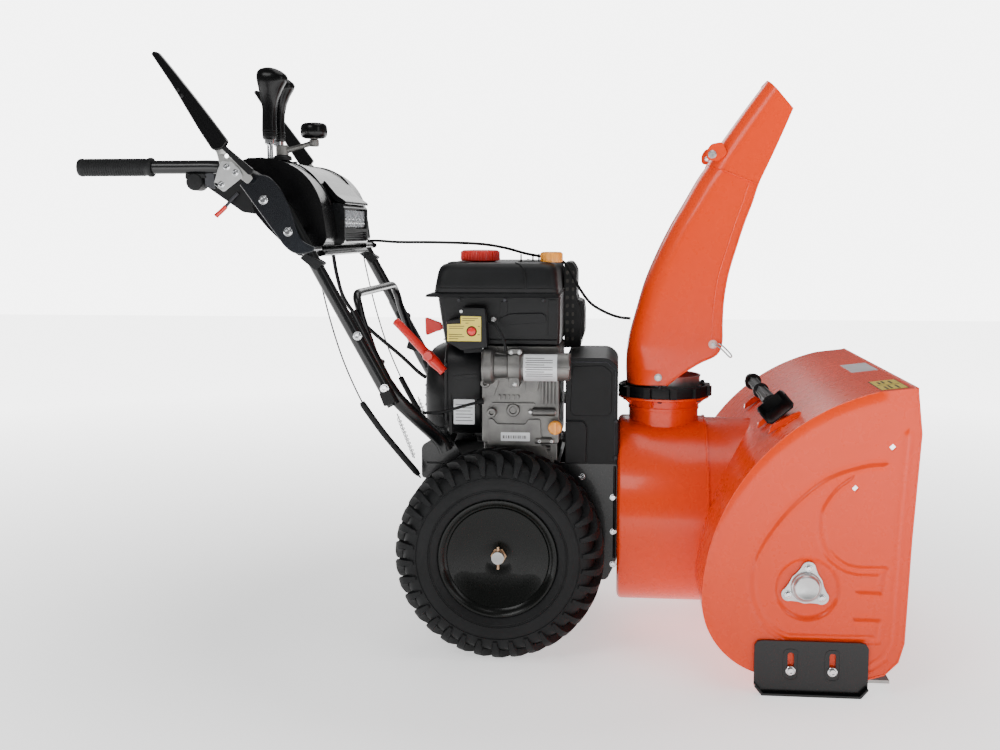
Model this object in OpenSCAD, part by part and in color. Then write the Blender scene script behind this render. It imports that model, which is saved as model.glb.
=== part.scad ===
// Two-stage walk-behind snow blower.
// +X points forward to the auger, +Y to the machine's left, +Z up.
// The origin is on the floor below the middle of the bounding box.

/* [Wheels] */
// Outer diameter of a tyre
tyre_d = 404; // [400:1:406]
// Width of a tyre
tyre_w = 122; // [116:1:122]
// Distance between the two tyre centres
track = 386; // [382:1:390]
// Diameter over a rim flange
rim_d = 226; // [220:1:230]

/* [Auger housing] */
// Clearing width, over the side plates
housing_w = 711; // [690:1:720]
// Thickness of the painted sheet
sheet = 3; // [2:0.5:3]
// Radius of the auger flights
auger_r = 166; // [150:1:168]
// Outer radius of the impeller drum
drum_r = 189; // [187:1:190]

/* [Handlebar] */
// Diameter of the handlebar tubes
bar_d = 28; // [24:1:28]
// Diameter of the tubes under the grips
handle_d = 25; // [22:1:25]
// Distance between the two grips, centre to centre
grip_span = 580; // [576:1:584]

/* [Chute] */
// Outer radius of the collar that the chute turns on
collar_r = 73; // [71:1:73]
// Half width of the chute
chute_hw = 78; // [77:0.5:78]

/* [Hidden] */
$fn = 64;
gap = 0.3;
fit = 0.05;

axle_x = 15;
axle_z = tyre_d / 2;
axle_r = 12;
tyre_y = track / 2;
frame_hw = 118;

auger_x = 573;
auger_z = 200;
shaft_r = 9.5;
drum_z = 256;
drum_x = 240;
seam_x = 415;
skid_bolts = [551, 624];
tool_x = 530;
tool_z = 497;
side_y = housing_w / 2;

crank_z = 480;
disc_z = 265;
hex_x = 45;
disc_x = 95;
wheel_r = 49.7;
auger_belt_x = 200;
drive_belt_x = 160;
belt_w = 20;

neck_x = 332;
neck_r = 70;
ring_z = 490;
hinge_x = 415;
hinge_z = 968;

bar_y = 254.5;
grip_y = grip_span / 2;
grip_z = 938;
lever_x = -473;
lever_z = 937;
crank_x = -416;
crank_y = -140;
crank_arm = 63;
stick_x = -472;
stick_y = 32;
stick_z = 880;
light_hw = 112;
light_z = 794;
light_h = 80;

function arc(cx, cz, r, a0, a1, n) =
    [for (i = [0:n]) let (a = a0 + (a1 - a0) * i / n) [cx + r * cos(a), cz + r * sin(a)]];
function flip(list) = [for (i = [len(list) - 1:-1:0]) list[i]];

// Outline of the auger housing seen from the side, from the bottom lip round the
// back to the top lip; inset moves it inwards.
function back_line(inset) = concat(
    [[686, 29 + inset]],
    arc(531, 167, 138 - inset, -90, -180, 12),
    arc(785, 165, 392 - inset, 179, 104, 20),
    [[753, 553 - inset]]);
front_line = [[762, 473], [752, 286], [746, 98], [737, 64], [714, 40]];

chute_back = [[256, 517], [255, 540], [255, 557], [256, 580], [260, 607], [267, 635],
              [276, 668], [291, 720], [313, 774], [339, 828], [369, 881], [392, 922], [412, 952]];
chute_front = [[334, 517], [362, 540], [397, 563], [430, 580], [440, 604], [440, 640],
               [442, 688], [450, 740], [467, 801], [479, 840], [492, 876], [500, 903], [506, 920]];

module xz(y0, y1, pts) {
    translate([0, y1, 0]) rotate([90, 0, 0]) linear_extrude(y1 - y0) polygon(pts);
}
module xcyl(x0, x1, y, z, r) {
    translate([x0, y, z]) rotate([0, 90, 0]) cylinder(h = x1 - x0, r = r);
}
module ycyl(y0, y1, x, z, r) {
    translate([x, y0, z]) rotate([-90, 0, 0]) cylinder(h = y1 - y0, r = r);
}
module zcyl(z0, z1, x, y, r) {
    translate([x, y, z0]) cylinder(h = z1 - z0, r = r);
}
module block(low, high) {
    translate(low) cube(high - low);
}
module rod(a, b, r) {
    d = b - a;
    translate(a) rotate([0, acos(d.z / norm(d)), atan2(d.y, d.x)]) cylinder(h = norm(d), r = r);
}
module both_sides() {
    children();
    mirror([0, 1, 0]) children();
}
module bolt_y(x, y, z, r, s) {
    // washer and hexagon head standing on a face whose normal is s along Y
    translate([x, y, z]) rotate([-90 * s, 0, 0]) {
        cylinder(h = 1.5, r = r * 1.35);
        translate([0, 0, 1.5]) cylinder(h = r * 0.8, r = r, $fn = 6);
    }
}

// A flexible tube swept along hand-laid points.
module cord(points, r, sides) {
    n = len(points);
    function along(i) = let (d = points[min(i + 1, n - 1)] - points[max(i - 1, 0)]) d / norm(d);
    function across(i) = let (c = cross(along(i), [0.13, 1, 0.07])) c / norm(c);
    ring = [for (i = [0:n - 1]) let (u = across(i), v = cross(u, along(i)))
        for (k = [0:sides - 1]) points[i] + r * (cos(360 * k / sides) * u + sin(360 * k / sides) * v)];
    faces = concat(
        [[for (k = [sides - 1:-1:0]) k]],
        [[for (k = [0:sides - 1]) (n - 1) * sides + k]],
        [for (i = [0:n - 2]) for (k = [0:sides - 1]) let (j = (k + 1) % sides, a = i * sides)
            each [[a + k, a + j, a + sides + j], [a + k, a + sides + j, a + sides + k]]]);
    polyhedron(ring, faces);
}

// ---------------------------------------------------------------- auger housing
module housing_side() {
    difference() {
        xz(-side_y, -side_y + sheet, concat(back_line(0), front_line));
        ycyl(-side_y - 1, -side_y + sheet + 1, auger_x, auger_z, 20);
        for (p = [[715, 449], [654, 375]])
            translate([p.x, -side_y, p.y]) rotate([0, 45, 0]) cube([8, 12, 8], center = true);
    }
}
module housing_side_right() { color("orangered") housing_side(); }
module housing_side_left() { color("orangered") mirror([0, 1, 0]) housing_side(); }

module housing_back_sheet() {
    w = side_y - sheet;
    color("orangered") {
        difference() {
            xz(-w, w, concat(back_line(0), flip(back_line(sheet))));
            xcyl(380, 545, 0, drum_z, drum_r - 2 * sheet);
        }
        // collar that the impeller drum slips over
        difference() {
            xcyl(seam_x - 10, 540, 0, drum_z, drum_r - sheet);
            xcyl(seam_x - 11, 541, 0, drum_z, drum_r - 2 * sheet);
            xz(-400, 400, concat(back_line(0), front_line));
        }
        // clips that hold the clean-out tool
        for (y = [-160, 90]) xz(y, y + 10, [[518, 452], [545, 474], [536, 482], [512, 462]]);
    }
}

module impeller_drum() {
    color("orangered") difference() {
        union() {
            xcyl(drum_x, seam_x, 0, drum_z, drum_r);
            zcyl(drum_z, ring_z, neck_x, 0, neck_r);
            zcyl(ring_z - 4, ring_z, neck_x, 0, 92);
        }
        xcyl(drum_x + sheet, 541, 0, drum_z, drum_r - sheet);
        zcyl(drum_z, ring_z + 1, neck_x, 0, neck_r - sheet);
        xcyl(drum_x - 1, drum_x + sheet + 1, 0, drum_z, 16);
        xz(-400, 400, concat(back_line(0), front_line));
    }
}

module scraper_bar() {
    color("dimgray") block([660, -side_y + sheet, 23], [725, side_y - sheet, 29]);
}

module chute_retaining_ring() {
    color("black") difference() {
        union() {
            zcyl(ring_z + 10, ring_z + 22, neck_x, 0, 92);
            zcyl(ring_z, ring_z + 10, neck_x, 0, 92);
            for (a = [-80, -10, 60, 130, 225])
                translate([neck_x, 0, 0]) rotate([0, 0, a]) block([85, -14, ring_z], [98, 14, ring_z + 20]);
            block([300, 85, ring_z + 1], [345, 118, ring_z + 24]);
        }
        zcyl(ring_z - 1, ring_z + 10, neck_x, 0, 90);
        zcyl(ring_z - 1, ring_z + 60, neck_x, 0, collar_r + 11);
    }
}

module bearing_cap() {
    difference() {
        union() {
            ycyl(-side_y - 12, -side_y, auger_x, auger_z, 27);
            for (a = [82, 205, 325]) hull() {
                ycyl(-side_y - 3, -side_y, auger_x + 34 * cos(a), auger_z + 34 * sin(a), 10, $fn = 32);
                ycyl(-side_y - 3, -side_y, auger_x, auger_z, 26, $fn = 32);
            }
        }
        ycyl(-side_y - 9, -side_y + 1, auger_x, auger_z, shaft_r + fit);
    }
}
module auger_bearing_caps() { color("silver") both_sides() bearing_cap(); }

module auger_gearbox() {
    color("dimgray") difference() {
        union() {
            ycyl(-30, 30, auger_x, auger_z, 50);
            ycyl(-42, 42, auger_x, auger_z, 22);
            xcyl(508, 636, 0, drum_z, 25);
        }
        ycyl(-17, 17, auger_x, auger_z, 42);
        xcyl(530, 616, 0, drum_z, 18);
        ycyl(-43, 43, auger_x, auger_z, shaft_r + fit);
        xcyl(507, 531, 0, drum_z, shaft_r + fit);
    }
}

module fasteners() {
    color("gainsboro") both_sides() {
        for (a = [82, 205, 325])
            bolt_y(auger_x + 34 * cos(a), -side_y - 3, auger_z + 34 * sin(a), 5, -1);
        for (p = [[170, 339], [232, 298], [233, 229], [233, 163]])
            bolt_y(p.x, -frame_hw, p.y, 5, -1);
        for (p = [[-412, 878], [-367, 820]]) bolt_y(p.x, -290, p.y, 6, -1);
        for (p = [[-245, 627], [-195, 529]]) bolt_y(p.x, -bar_y - handle_d / 2, p.y, 6, -1);
        for (x = skid_bolts) bolt_y(x, -side_y - 6 - gap, 44, 6, -1);
    }
}

module clean_out_tool() {
    color("black") translate([tool_x, 0, tool_z]) {
        ycyl(-170, 210, 0, 0, 10);
        for (y = [20, 165]) ycyl(y, y + 6, 0, 0, 17);
        rotate([0, -40, 0]) difference() {
            block([-30, -252, -16], [30, -164, 16]);
            block([-27, -253, -11], [27, -170, 20]);
        }
    }
}

module skid() {
    x0 = 487;
    x1 = 686;
    color("black") difference() {
        union() {
            xz(-side_y - 6, -side_y - gap, [[x0, 14], [x0 + 14, 0], [x1 - 14, 0], [x1, 14],
                [x1, 86], [x1 - 12, 98], [x0 + 12, 98], [x0, 86]]);
            xz(-side_y - 17, -side_y - 6, [[x0, 14], [x0 + 14, 0], [x1 - 14, 0], [x1, 14],
                [x1, 22], [x0, 22]]);
        }
        for (x = skid_bolts) block([x - 6, -side_y - 20, 39], [x + 6, -side_y + 1, 77]);
    }
}
module skid_shoe_right() { skid(); }
module skid_shoe_left() { mirror([0, 1, 0]) skid(); }

// ---------------------------------------------------------------- frame and drive
frame_outer = [[-150, 366], [drum_x, 366], [drum_x, 171], [220, 130], [-110, 130], [-150, 170]];

module frame_box() {
    // ears that the handlebar bolts to
    color("black") both_sides() xz(-frame_hw - 3, -frame_hw, [[-150, 330], [-150, 396], [-128, 410],
        [-84, 404], [-66, 372], [-66, 330]]);
    color("black") difference() {
        xz(-frame_hw, frame_hw, frame_outer);
        xz(-frame_hw + 3, frame_hw - 3, [[-147, 363], [124, 363], [124, 120], [-109, 120], [-147, 171]]);
        xz(-frame_hw + 3, frame_hw - 3, [[127, 380], [260, 380], [260, 120], [127, 120]]);
        for (p = [[axle_x, axle_z], [hex_x, disc_z]]) ycyl(-150, 150, p.x, p.y, 18);
        xcyl(120, 130, 0, disc_z, 18);
    }
}

module frame_bottom_cover() {
    color("black") block([-106, -frame_hw + 3.2, 130], [123.8, frame_hw - 3.2, 132]);
}

module flange_bearing(r) {
    // built on +Z from the plate's inner face outwards
    difference() {
        union() {
            translate([0, 0, -2]) cylinder(h = 2, r = 22);
            cylinder(h = 3, r = 18);
        }
        translate([0, 0, -3]) cylinder(h = 8, r = r + fit);
    }
}
module shaft_bearings() {
    color("silver") {
        both_sides() {
            translate([axle_x, -frame_hw + 3, axle_z]) rotate([90, 0, 0]) flange_bearing(axle_r);
            translate([hex_x, -frame_hw + 3, disc_z]) rotate([90, 0, 0]) flange_bearing(shaft_r);
        }
        translate([124, 0, disc_z]) rotate([0, 90, 0]) flange_bearing(shaft_r);
        difference() {
            union() {
                xcyl(226, drum_x, 0, drum_z, 30);
                xcyl(drum_x, drum_x + sheet, 0, drum_z, 16);
            }
            xcyl(225, 245, 0, drum_z, shaft_r + fit);
        }
    }
}

module belt_cover() {
    outer = [[137, 366.5], [239.5, 366.5], [239.5, 563], [219, 576], [137, 576]];
    color("black") difference() {
        union() {
            xz(-132, 132, outer);
            block([150, -138, 366.5], [178, -132, 440]);
        }
        xz(-129, 129, [[140, 360], [236.5, 360], [236.5, 561], [218, 573], [140, 573]]);
        xcyl(130, 141, 0, crank_z, 20);
    }
}

// A loop round two pulleys in the YZ plane of axes (y, z).
module loop_yz(x, z0, r0, z1, r1, t, w) {
    translate([x, 0, 0]) rotate([90, 0, 90]) linear_extrude(w) difference() {
        hull() {
            translate([0, z0]) circle(r0 + t);
            translate([0, z1]) circle(r1 + t);
        }
        hull() {
            translate([0, z0]) circle(r0);
            translate([0, z1]) circle(r1);
        }
    }
}
module belts_and_chain() {
    color("dimgray") {
        loop_yz(auger_belt_x + 3, crank_z, 38 + gap, drum_z, 98 + gap, 8, belt_w - 6);
        loop_yz(drive_belt_x + 3, crank_z, 32 + gap, disc_z, 70 + gap, 8, belt_w - 6);
        translate([0, 96, 0]) rotate([90, 0, 0]) linear_extrude(8) difference() {
            hull() {
                translate([axle_x, axle_z]) circle(46 + gap + 5);
                translate([hex_x, disc_z]) circle(18 + gap + 5);
            }
            hull() {
                translate([axle_x, axle_z]) circle(46 + gap);
                translate([hex_x, disc_z]) circle(18 + gap);
            }
        }
    }
}

module vee_pulley(x, y, z, r, groove) {
    translate([x, y, z]) rotate([0, 90, 0]) rotate_extrude() polygon([[0, 0], [r, 0], [r, 2],
        [groove, 3], [groove, belt_w - 3], [r, belt_w - 2], [r, belt_w], [0, belt_w]]);
}
module engine_pulleys() {
    color("silver") {
        xcyl(128.5, 226, 0, crank_z, 12.5);
        vee_pulley(drive_belt_x, 0, crank_z, 41, 32);
        vee_pulley(auger_belt_x, 0, crank_z, 47, 38);
    }
}
module friction_disc() {
    color("silver") {
        xcyl(disc_x, disc_x + 8, 0, disc_z, 88);
        xcyl(disc_x, 184, 0, disc_z, shaft_r);
        vee_pulley(drive_belt_x, 0, disc_z, 79, 70);
    }
}
module hex_shaft() {
    color("silver") {
        ycyl(-122, 122, hex_x, disc_z, shaft_r);
        ycyl(88, 96, hex_x, disc_z, 18);
    }
}
module friction_wheel() {
    color("dimgray") difference() {
        union() {
            ycyl(-62, -50, hex_x, disc_z, wheel_r);
            ycyl(-75, -38, hex_x, disc_z, 16);
        }
        ycyl(-80, -30, hex_x, disc_z, shaft_r + fit);
    }
}

// ---------------------------------------------------------------- wheels
module wheel_axle() {
    color("silver") {
        ycyl(-tyre_y - 50, tyre_y + 50, axle_x, axle_z, axle_r);
        ycyl(88, 96, axle_x, axle_z, 46);
    }
}
rim_r = rim_d / 2;
// Half sections of a rim, as radius and distance out from the wheel's middle
rim_barrel = [[95, -52], [rim_r, -55], [rim_r, -52], [98.4, -48], [98.4, 48], [rim_r, 52],
    [rim_r, 55], [95, 52]];
rim_disc = [[axle_r, 34], [30, 34], [60, 32], [80, 26], [90, 14], [96.5, 0], [96.5, -6], [92, -4],
    [86, 11], [77, 21], [60, 27], [20, 29], [20, -68], [axle_r, -68]];
module wheel_rim() {
    translate([axle_x, -tyre_y, axle_z]) rotate([90, 0, 0]) {
        rotate_extrude() polygon(rim_barrel);
        rotate_extrude() polygon(rim_disc);
    }
}
module wheel_rims() { color("black") both_sides() wheel_rim(); }

tyre_hw = tyre_w / 2;
tyre_r = tyre_d / 2;
module tyre() {
    lugs = 34;
    translate([axle_x, -tyre_y, axle_z]) rotate([90, 0, 0]) {
        rotate_extrude() polygon([[98.5, -46], [98.5, 46], [107, 49.4], [113.8, 51], [118, 57], [140, 60],
            [165, 57], [182, 48], [187, 35], [187, -35], [182, -48], [165, -57], [140, -60],
            [118, -57], [113.8, -51], [107, -49.4]]);
        for (k = [0:lugs - 1]) for (s = [-1, 1]) rotate([0, 0, 360 * (k + s / 4) / lugs])
            translate([180, 0, s * 24]) linear_extrude(44, center = true)
                polygon([[0, -9], [tyre_r - 180.3, -8], [tyre_r - 180, 0], [tyre_r - 180.3, 8], [0, 9]]);
    }
}
module tyres() { color("dimgray") both_sides() tyre(); }

// ---------------------------------------------------------------- auger and impeller
module auger_shaft() {
    color("dimgray") {
        ycyl(-side_y - 8, side_y + 8, auger_x, auger_z, shaft_r);
        ycyl(-14, 14, auger_x, auger_z, 38);
    }
}
flight_turns = 1.25;
flight_y0 = 62;
flight_y1 = 338;
module flight() {
    steps = 60;
    ring = [for (i = [0:steps]) let (a = 360 * flight_turns * i / steps,
        y = flight_y0 + (flight_y1 - flight_y0) * i / steps,
        ro = auger_r - (i % 2) * 7) for (p = [[118, -2], [ro, -2], [ro, 2], [118, 2]])
        [auger_x + p.x * cos(a), y + p.y, auger_z + p.x * sin(a)]];
    faces = concat([[0, 1, 2, 3]], [[for (k = [3:-1:0]) 4 * steps + k]],
        [for (i = [0:steps - 1]) for (k = [0:3]) let (j = (k + 1) % 4, a = 4 * i + k, b = 4 * i + j)
            each [[a, a + 4, b + 4], [a, b + 4, b]]]);
    polyhedron(ring, faces);
}
module auger_half() {
    flight();
    difference() {
        ycyl(46, 344, auger_x, auger_z, 16);
        ycyl(45, 345, auger_x, auger_z, shaft_r + fit);
    }
    for (t = [0.1, 0.5, 0.9]) let (a = 360 * flight_turns * t, y = flight_y0 + (flight_y1 - flight_y0) * t)
        translate([auger_x, y, auger_z]) rotate([0, -a, 0]) block([14, -3, -14], [125, 3, 14]);
}
module auger_flights() {
    color("orangered") {
        auger_half();
        mirror([0, 1, 0]) auger_half();
    }
}

module impeller() {
    color("orangered") difference() {
        union() {
            xcyl(262, 388, 0, drum_z, 22);
            for (a = [0:90:270]) translate([0, 0, drum_z]) rotate([a, 0, 0])
                block([262, -2.5, 20], [384, 2.5, 180]);
            for (a = [0:90:270]) translate([0, 0, drum_z]) rotate([a, 0, 0])
                block([262, -2.5, 150], [384, 22, 154]);
            xcyl(262, 265, 0, drum_z, 110);
        }
        xcyl(261, 389, 0, drum_z, shaft_r);
    }
}
module impeller_shaft() {
    color("dimgray") {
        xcyl(auger_belt_x - 2, 540, 0, drum_z, shaft_r);
        xcyl(540, 606, 0, drum_z, 14);
        vee_pulley(auger_belt_x, 0, drum_z, 107, 98);
    }
}

// ---------------------------------------------------------------- chute
wall = 2;
// The chute's section at one station: half the outline from a front edge round
// the back to the other front edge, at a distance in from the outer skin.
function chute_loop(b, f, hw, inset) = let (d = norm(f - b), u = (f - b) / d, r = 42)
    [for (p = concat([[d, -(hw - inset)]], [[d * 0.75, -(hw - inset)]], [[d * 0.55, -(hw - inset)]],
        [for (i = [0:6]) let (a = 270 - 90 * i / 6) [min(r, d * 0.5) + (min(r, d * 0.5) - inset) * cos(a),
            -(hw - r) + (r - inset) * sin(a)]],
        [for (i = [0:6]) let (a = 180 - 90 * i / 6) [min(r, d * 0.5) + (min(r, d * 0.5) - inset) * cos(a),
            (hw - r) + (r - inset) * sin(a)]],
        [[d * 0.55, hw - inset]], [[d * 0.75, hw - inset]], [[d, hw - inset]]))
        [b.x + u.x * p.x, p.y, b.y + u.y * p.x]];

module shell_loft(back, front, hw) {
    n = len(back);
    m = len(chute_loop(back[0], front[0], hw, 0));
    points = [for (i = [0:n - 1]) each concat(chute_loop(back[i], front[i], hw, 0),
        flip(chute_loop(back[i], front[i], hw, wall)))];
    faces = concat(
        [for (k = [0:m - 2]) [2 * m - 1 - k, 2 * m - 2 - k, k + 1, k]],
        [for (k = [0:m - 2]) let (o = (n - 1) * 2 * m) [o + 2 * m - 2 - k, o + 2 * m - 1 - k, o + k, o + k + 1]],
        [for (i = [0:n - 2]) for (k = [0:2 * m - 1]) let (j = (k + 1) % (2 * m), a = i * 2 * m, b = a + 2 * m)
            each [[a + j, b + j, b + k], [a + j, b + k, a + k]]]);
    polyhedron(points, faces);
}
module chute_body() {
    color("orangered") shell_loft(chute_back, chute_front, chute_hw);
}
module chute_collar() {
    color("silver") difference() {
        union() {
            zcyl(ring_z + gap, 531, neck_x, 0, collar_r);
            zcyl(ring_z + gap, ring_z + 9, neck_x, 0, 88);
        }
        zcyl(ring_z, 540, neck_x, 0, collar_r - 3);
    }
}
module deflector() {
    back = [[424, 974], [448, 1009], [484, 1060], [520, 1109]];
    front = [[507, 919], [531, 972], [549, 1014], [566, 1055]];
    color("orangered") shell_loft(back, front, chute_hw + wall + 1);
    color("orangered") both_sides() xz(-chute_hw - 3, -chute_hw - 1, [[405, 958], [404, 975], [412, 988],
        [434, 992], [444, 970], [425, 955]]);
    color("silver") ycyl(-chute_hw - 5, chute_hw + 5, hinge_x, hinge_z, 6);
}

// ---------------------------------------------------------------- handlebar
module handlebar_lower() {
    color("black") both_sides() cord([[-98, -135.2, 389], [-103, -135.8, 400],
        [-109, -138.5, 410], [-119, -147, 423], [-168, -203, 485], [-181, -216, 503], [-194, -224, 524],
        [-208, -226.2, 548], [-268, -226.2, 668]], bar_d / 2, 16);
}
module handlebar_upper() {
    color("black") both_sides() {
        cord([[-180, -bar_y, 496], [-331, -bar_y, 770], [-370, -bar_y, 842], [-386, -256, 868],
            [-402, -260, 890], [-424, -268, 912], [-450, -277, 927], [-478, -286, 935],
            [-505, -grip_y, grip_z], [-757.5, -grip_y, grip_z]], handle_d / 2, 16);
    }
}
module cross_brace() {
    half = [[-228, -203.5, 588], [-250, -203.5, 655], [-256, -202, 678], [-260, -196, 692],
        [-262, -184, 700], [-262, -170, 702]];
    color("dimgray") cord(concat(half, [for (i = [len(half) - 1:-1:0]) [half[i].x, -half[i].y, half[i].z]]),
        8, 12);
}
module grips() {
    color("black") both_sides() difference() {
        xcyl(-762, -619, -grip_y, grip_z, 16.5);
        xcyl(-757.5, -600, -grip_y, grip_z, handle_d / 2);
    }
}
module lever_bracket() {
    plate = [[-500, 905], [-481, 892], [-445, 914], [-442, 922], [-452, 936], [-470, 949],
        [-484, 949], [-490, 935]];
    xz(-311, -308, plate);
    ycyl(-308, -302.5, lever_x, lever_z, 4);
    block([-497, -308, 902], [-484, -286, 905]);
    block([-497, -290, 905], [-484, -286, grip_z - handle_d / 2 - 3]);
}
module lever_brackets() { color("silver") both_sides() lever_bracket(); }

module clutch_lever() {
    steel = [[-600, 1130], [-590, 1134], [-461, 958], [-424, 915], [-436, 905], [-487, 938], [-492, 958]];
    cover = [[-605, 1138], [-601, 1143], [-592, 1142], [-572, 1117], [-521, 1053], [-467, 979],
        [-482, 968], [-497, 963], [-520, 1000], [-565, 1078]];
    color("black") difference() {
        union() {
            xz(-307.7, -303.5, steel);
            xz(-318, -303.5, cover);
        }
        ycyl(-320, -290, lever_x, lever_z, 4 + fit);
    }
}
module clutch_lever_right() { clutch_lever(); }
module clutch_lever_left() { mirror([0, 1, 0]) clutch_lever(); }

// ---------------------------------------------------------------- console
console_line = [[-470, 959], [-431, 960], [-396, 953], [-364, 936], [-341, 911], [-326, 880],
    [-321, 842], [-316, 804], [-326, 791], [-383, 781], [-457, 858]];
// Tray behind the console that carries the control linkage
tray_line = [[-470, 956], [-562, 925], [-564, 915], [-479, 857], [-450, 853]];
module console_shell() {
    color("black") difference() {
        union() {
            xz(-205, 205, console_line);
            xz(-198, 198, tray_line);
        }
        xz(-202, 202, [[-467, 956], [-431, 957], [-397, 950], [-366, 933.5], [-344, 909.5], [-329, 880],
            [-324, 842], [-319.5, 806], [-328, 794], [-400, 772], [-452, 857]]);
        xz(-195, 195, [[-440, 950], [-471, 952.5], [-559, 922], [-560, 916], [-478, 860], [-440, 858]]);
        for (s = [-1, 1]) block([-489, s * stick_y - 9, 930], [-396, s * stick_y + 9, 1000]);
        zcyl(900, 1000, crank_x, crank_y, 9);
        block([-340, -light_hw, light_z], [-300, light_hw, light_z + light_h]);
        block([-400, -150, 770], [-340, 150, 800]);
    }
}
module console_side_plates() {
    plate = [[-460, 909], [-422, 927], [-397, 919], [-375, 893], [-366, 860], [-358, 823],
        [-345, 795], [-319, 786], [-330, 775], [-353, 780], [-372, 792], [-394, 823], [-427, 860]];
    color("black") both_sides() xz(-290, -286, plate);
}
module headlight() {
    color("dimgray") difference() {
        block([-332, -light_hw, light_z], [-303, light_hw, light_z + light_h]);
        block([-309, -light_hw + 12, light_z + 32], [-302, light_hw - 12, light_z + light_h - 10]);
    }
}
module stick_lever(y, head_r) {
    top = stick_z + 270;
    ycyl(y - 12, y + 12, stick_x, stick_z, 9);
    rod([stick_x, y, stick_z], [stick_x, y, top - 110], 6);
    rod([stick_x, y, top - 120], [stick_x, y, top - 48], 12);
    translate([stick_x, y, top - 50]) cylinder(h = 50, r1 = 13, r2 = head_r);
}
module speed_lever() { color("black") stick_lever(-stick_y, 26); }
module deflector_lever() { color("black") stick_lever(stick_y, 17); }
module chute_crank() {
    color("silver") {
        zcyl(880, 985, crank_x, crank_y, 8);
        rod([crank_x, crank_y, 974], [crank_x + crank_arm, crank_y, 990], 6);
        zcyl(986, 1020, crank_x + crank_arm, crank_y, 5);
    }
}
module crank_knob() {
    color("black") difference() {
        zcyl(1000, 1026, crank_x + crank_arm, crank_y, 26);
        zcyl(990, 1020 + gap, crank_x + crank_arm, crank_y, 5 + fit);
    }
}

// ---------------------------------------------------------------- engine
module engine_block() {
    color("silver") {
        block([-29, -150, 406], [127, 60, 604]);
        block([-29, -128, 366], [127, 60, 406]);
        translate([50, 60, 500]) rotate([25, 0, 0]) {
            for (k = [0:7]) block([-70, k * 13, -65], [70, k * 13 + 5, 60]);
            block([-55, -20, -50], [55, 96, 45]);
        }
    }
}
module engine_shroud() {
    color("black") {
        block([-115, -150, 604], [127, 150, 695]);
        xz(20, 150, [[127, 757], [140, 757], [151, 740], [151, 686], [161, 646], [161, 583], [127, 580]]);
    }
}
module recoil_housing() {
    color("black") difference() {
        union() {
            xcyl(-100, -29, 0, 487, 115);
            xcyl(-154, -100, 0, 490, 103);
        }
        block([-160, -200, 604], [0, 200, 700]);
    }
}
module fuel_tank() {
    color("black") {
        xz(-165, 165, [[-115, 703], [-109, 751], [-99, 760], [98, 760], [119, 748], [126, 703]]);
        block([-133, -178, 695], [127, 178, 703]);
    }
}
module muffler() {
    color("dimgray") {
        block([-40, 182, 560], [110, 244, 680]);
        xcyl(-40, 110, 213, 560, 31);
    }
}
module starter_motor() {
    color("silver") {
        xcyl(30, 55, -192, 563, 30);
        xcyl(55, 144, -192, 563, 27);
        block([-3, -216, 537], [34, -150, 591]);
        block([30, -170, 540], [55, -150, 585]);
    }
}
module switch_box() {
    color("black") difference() {
        xz(-190, -150, [[-89, 650], [-62, 676], [-14, 676], [-11, 595], [-61, 591], [-88, 614]]);
        ycyl(-200, -168, -40, 631, 8.5);
    }
}
module start_button() { color("red") ycyl(-194, -172.5, -40, 631, 8); }
module choke_knob() {
    color("red") {
        xcyl(-150, -115.3, -60, 628, 5);
        xz(-63, -57, [[-150, 645], [-140, 618], [-118, 620], [-120, 640]]);
    }
}
module recoil_handle() {
    color("red") {
        rod([-200, -125, 645], [-104, -125, 546], 8);
        rod([-142.4, -125, 585.6], [-125.12, -125, 567.78], 12);
    }
}
module fuel_cap() { color("red") zcyl(760.3, 784, -38, -60, 39); }
module oil_fill_cap() { color("gold") zcyl(760.3, 781, 108, -120, 22); }
module dipstick() { color("orange") ycyl(-176, -150.3, 119, 445, 13); }

// ---------------------------------------------------------------- cables
module cable_pair() {
    cord([[-335, -215, 778], [-330, -215, 744], [-309, -215, 653], [-282, -212, 566],
        [-246, -205, 484]], 1.5, 8);
    cord([[-246, -205, 484], [-215, -190, 434], [-181, -173, 386], [-150, -158, 344]], 6, 8);
    cord([[-150, -158, 344], [-153, -140, 338], [-153, -118, 330]], 1.5, 8);
}
module control_cables() {
    color("black") {
        cable_pair();
        mirror([0, 1, 0]) cable_pair();
        cord([[-353, 0, 778], [-345, 0, 730], [-329, 0, 679], [-287, 0, 627], [-214, 0, 565],
            [-176, 0, 530], [-159, 0, 518]], 4, 8);
        cord([[-140, -160, 468], [-107, -160, 469], [-60, -158, 482], [-30, -153.5, 490]], 3, 8);
        cord([[-8, -176, 650], [8, -190, 640], [22, -196, 615], [26, -196, 594]], 3, 8);
    }
}
module chute_cable() {
    color("black") cord([[-315, 150, 799], [-298, 145, 800], [-274, 110, 800], [-224, 60, 798],
        [-134, 10, 798], [-46, 0, 795], [6, 0, 787],
        [47, 0, 776], [85, -5, 769], [112, -15, 764], [135, -30, 752], [158, -38, 710], [182, -40, 678],
        [211, -40, 660], [238, -40, 650], [263, -40, 647]], 3, 8);
}

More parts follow.
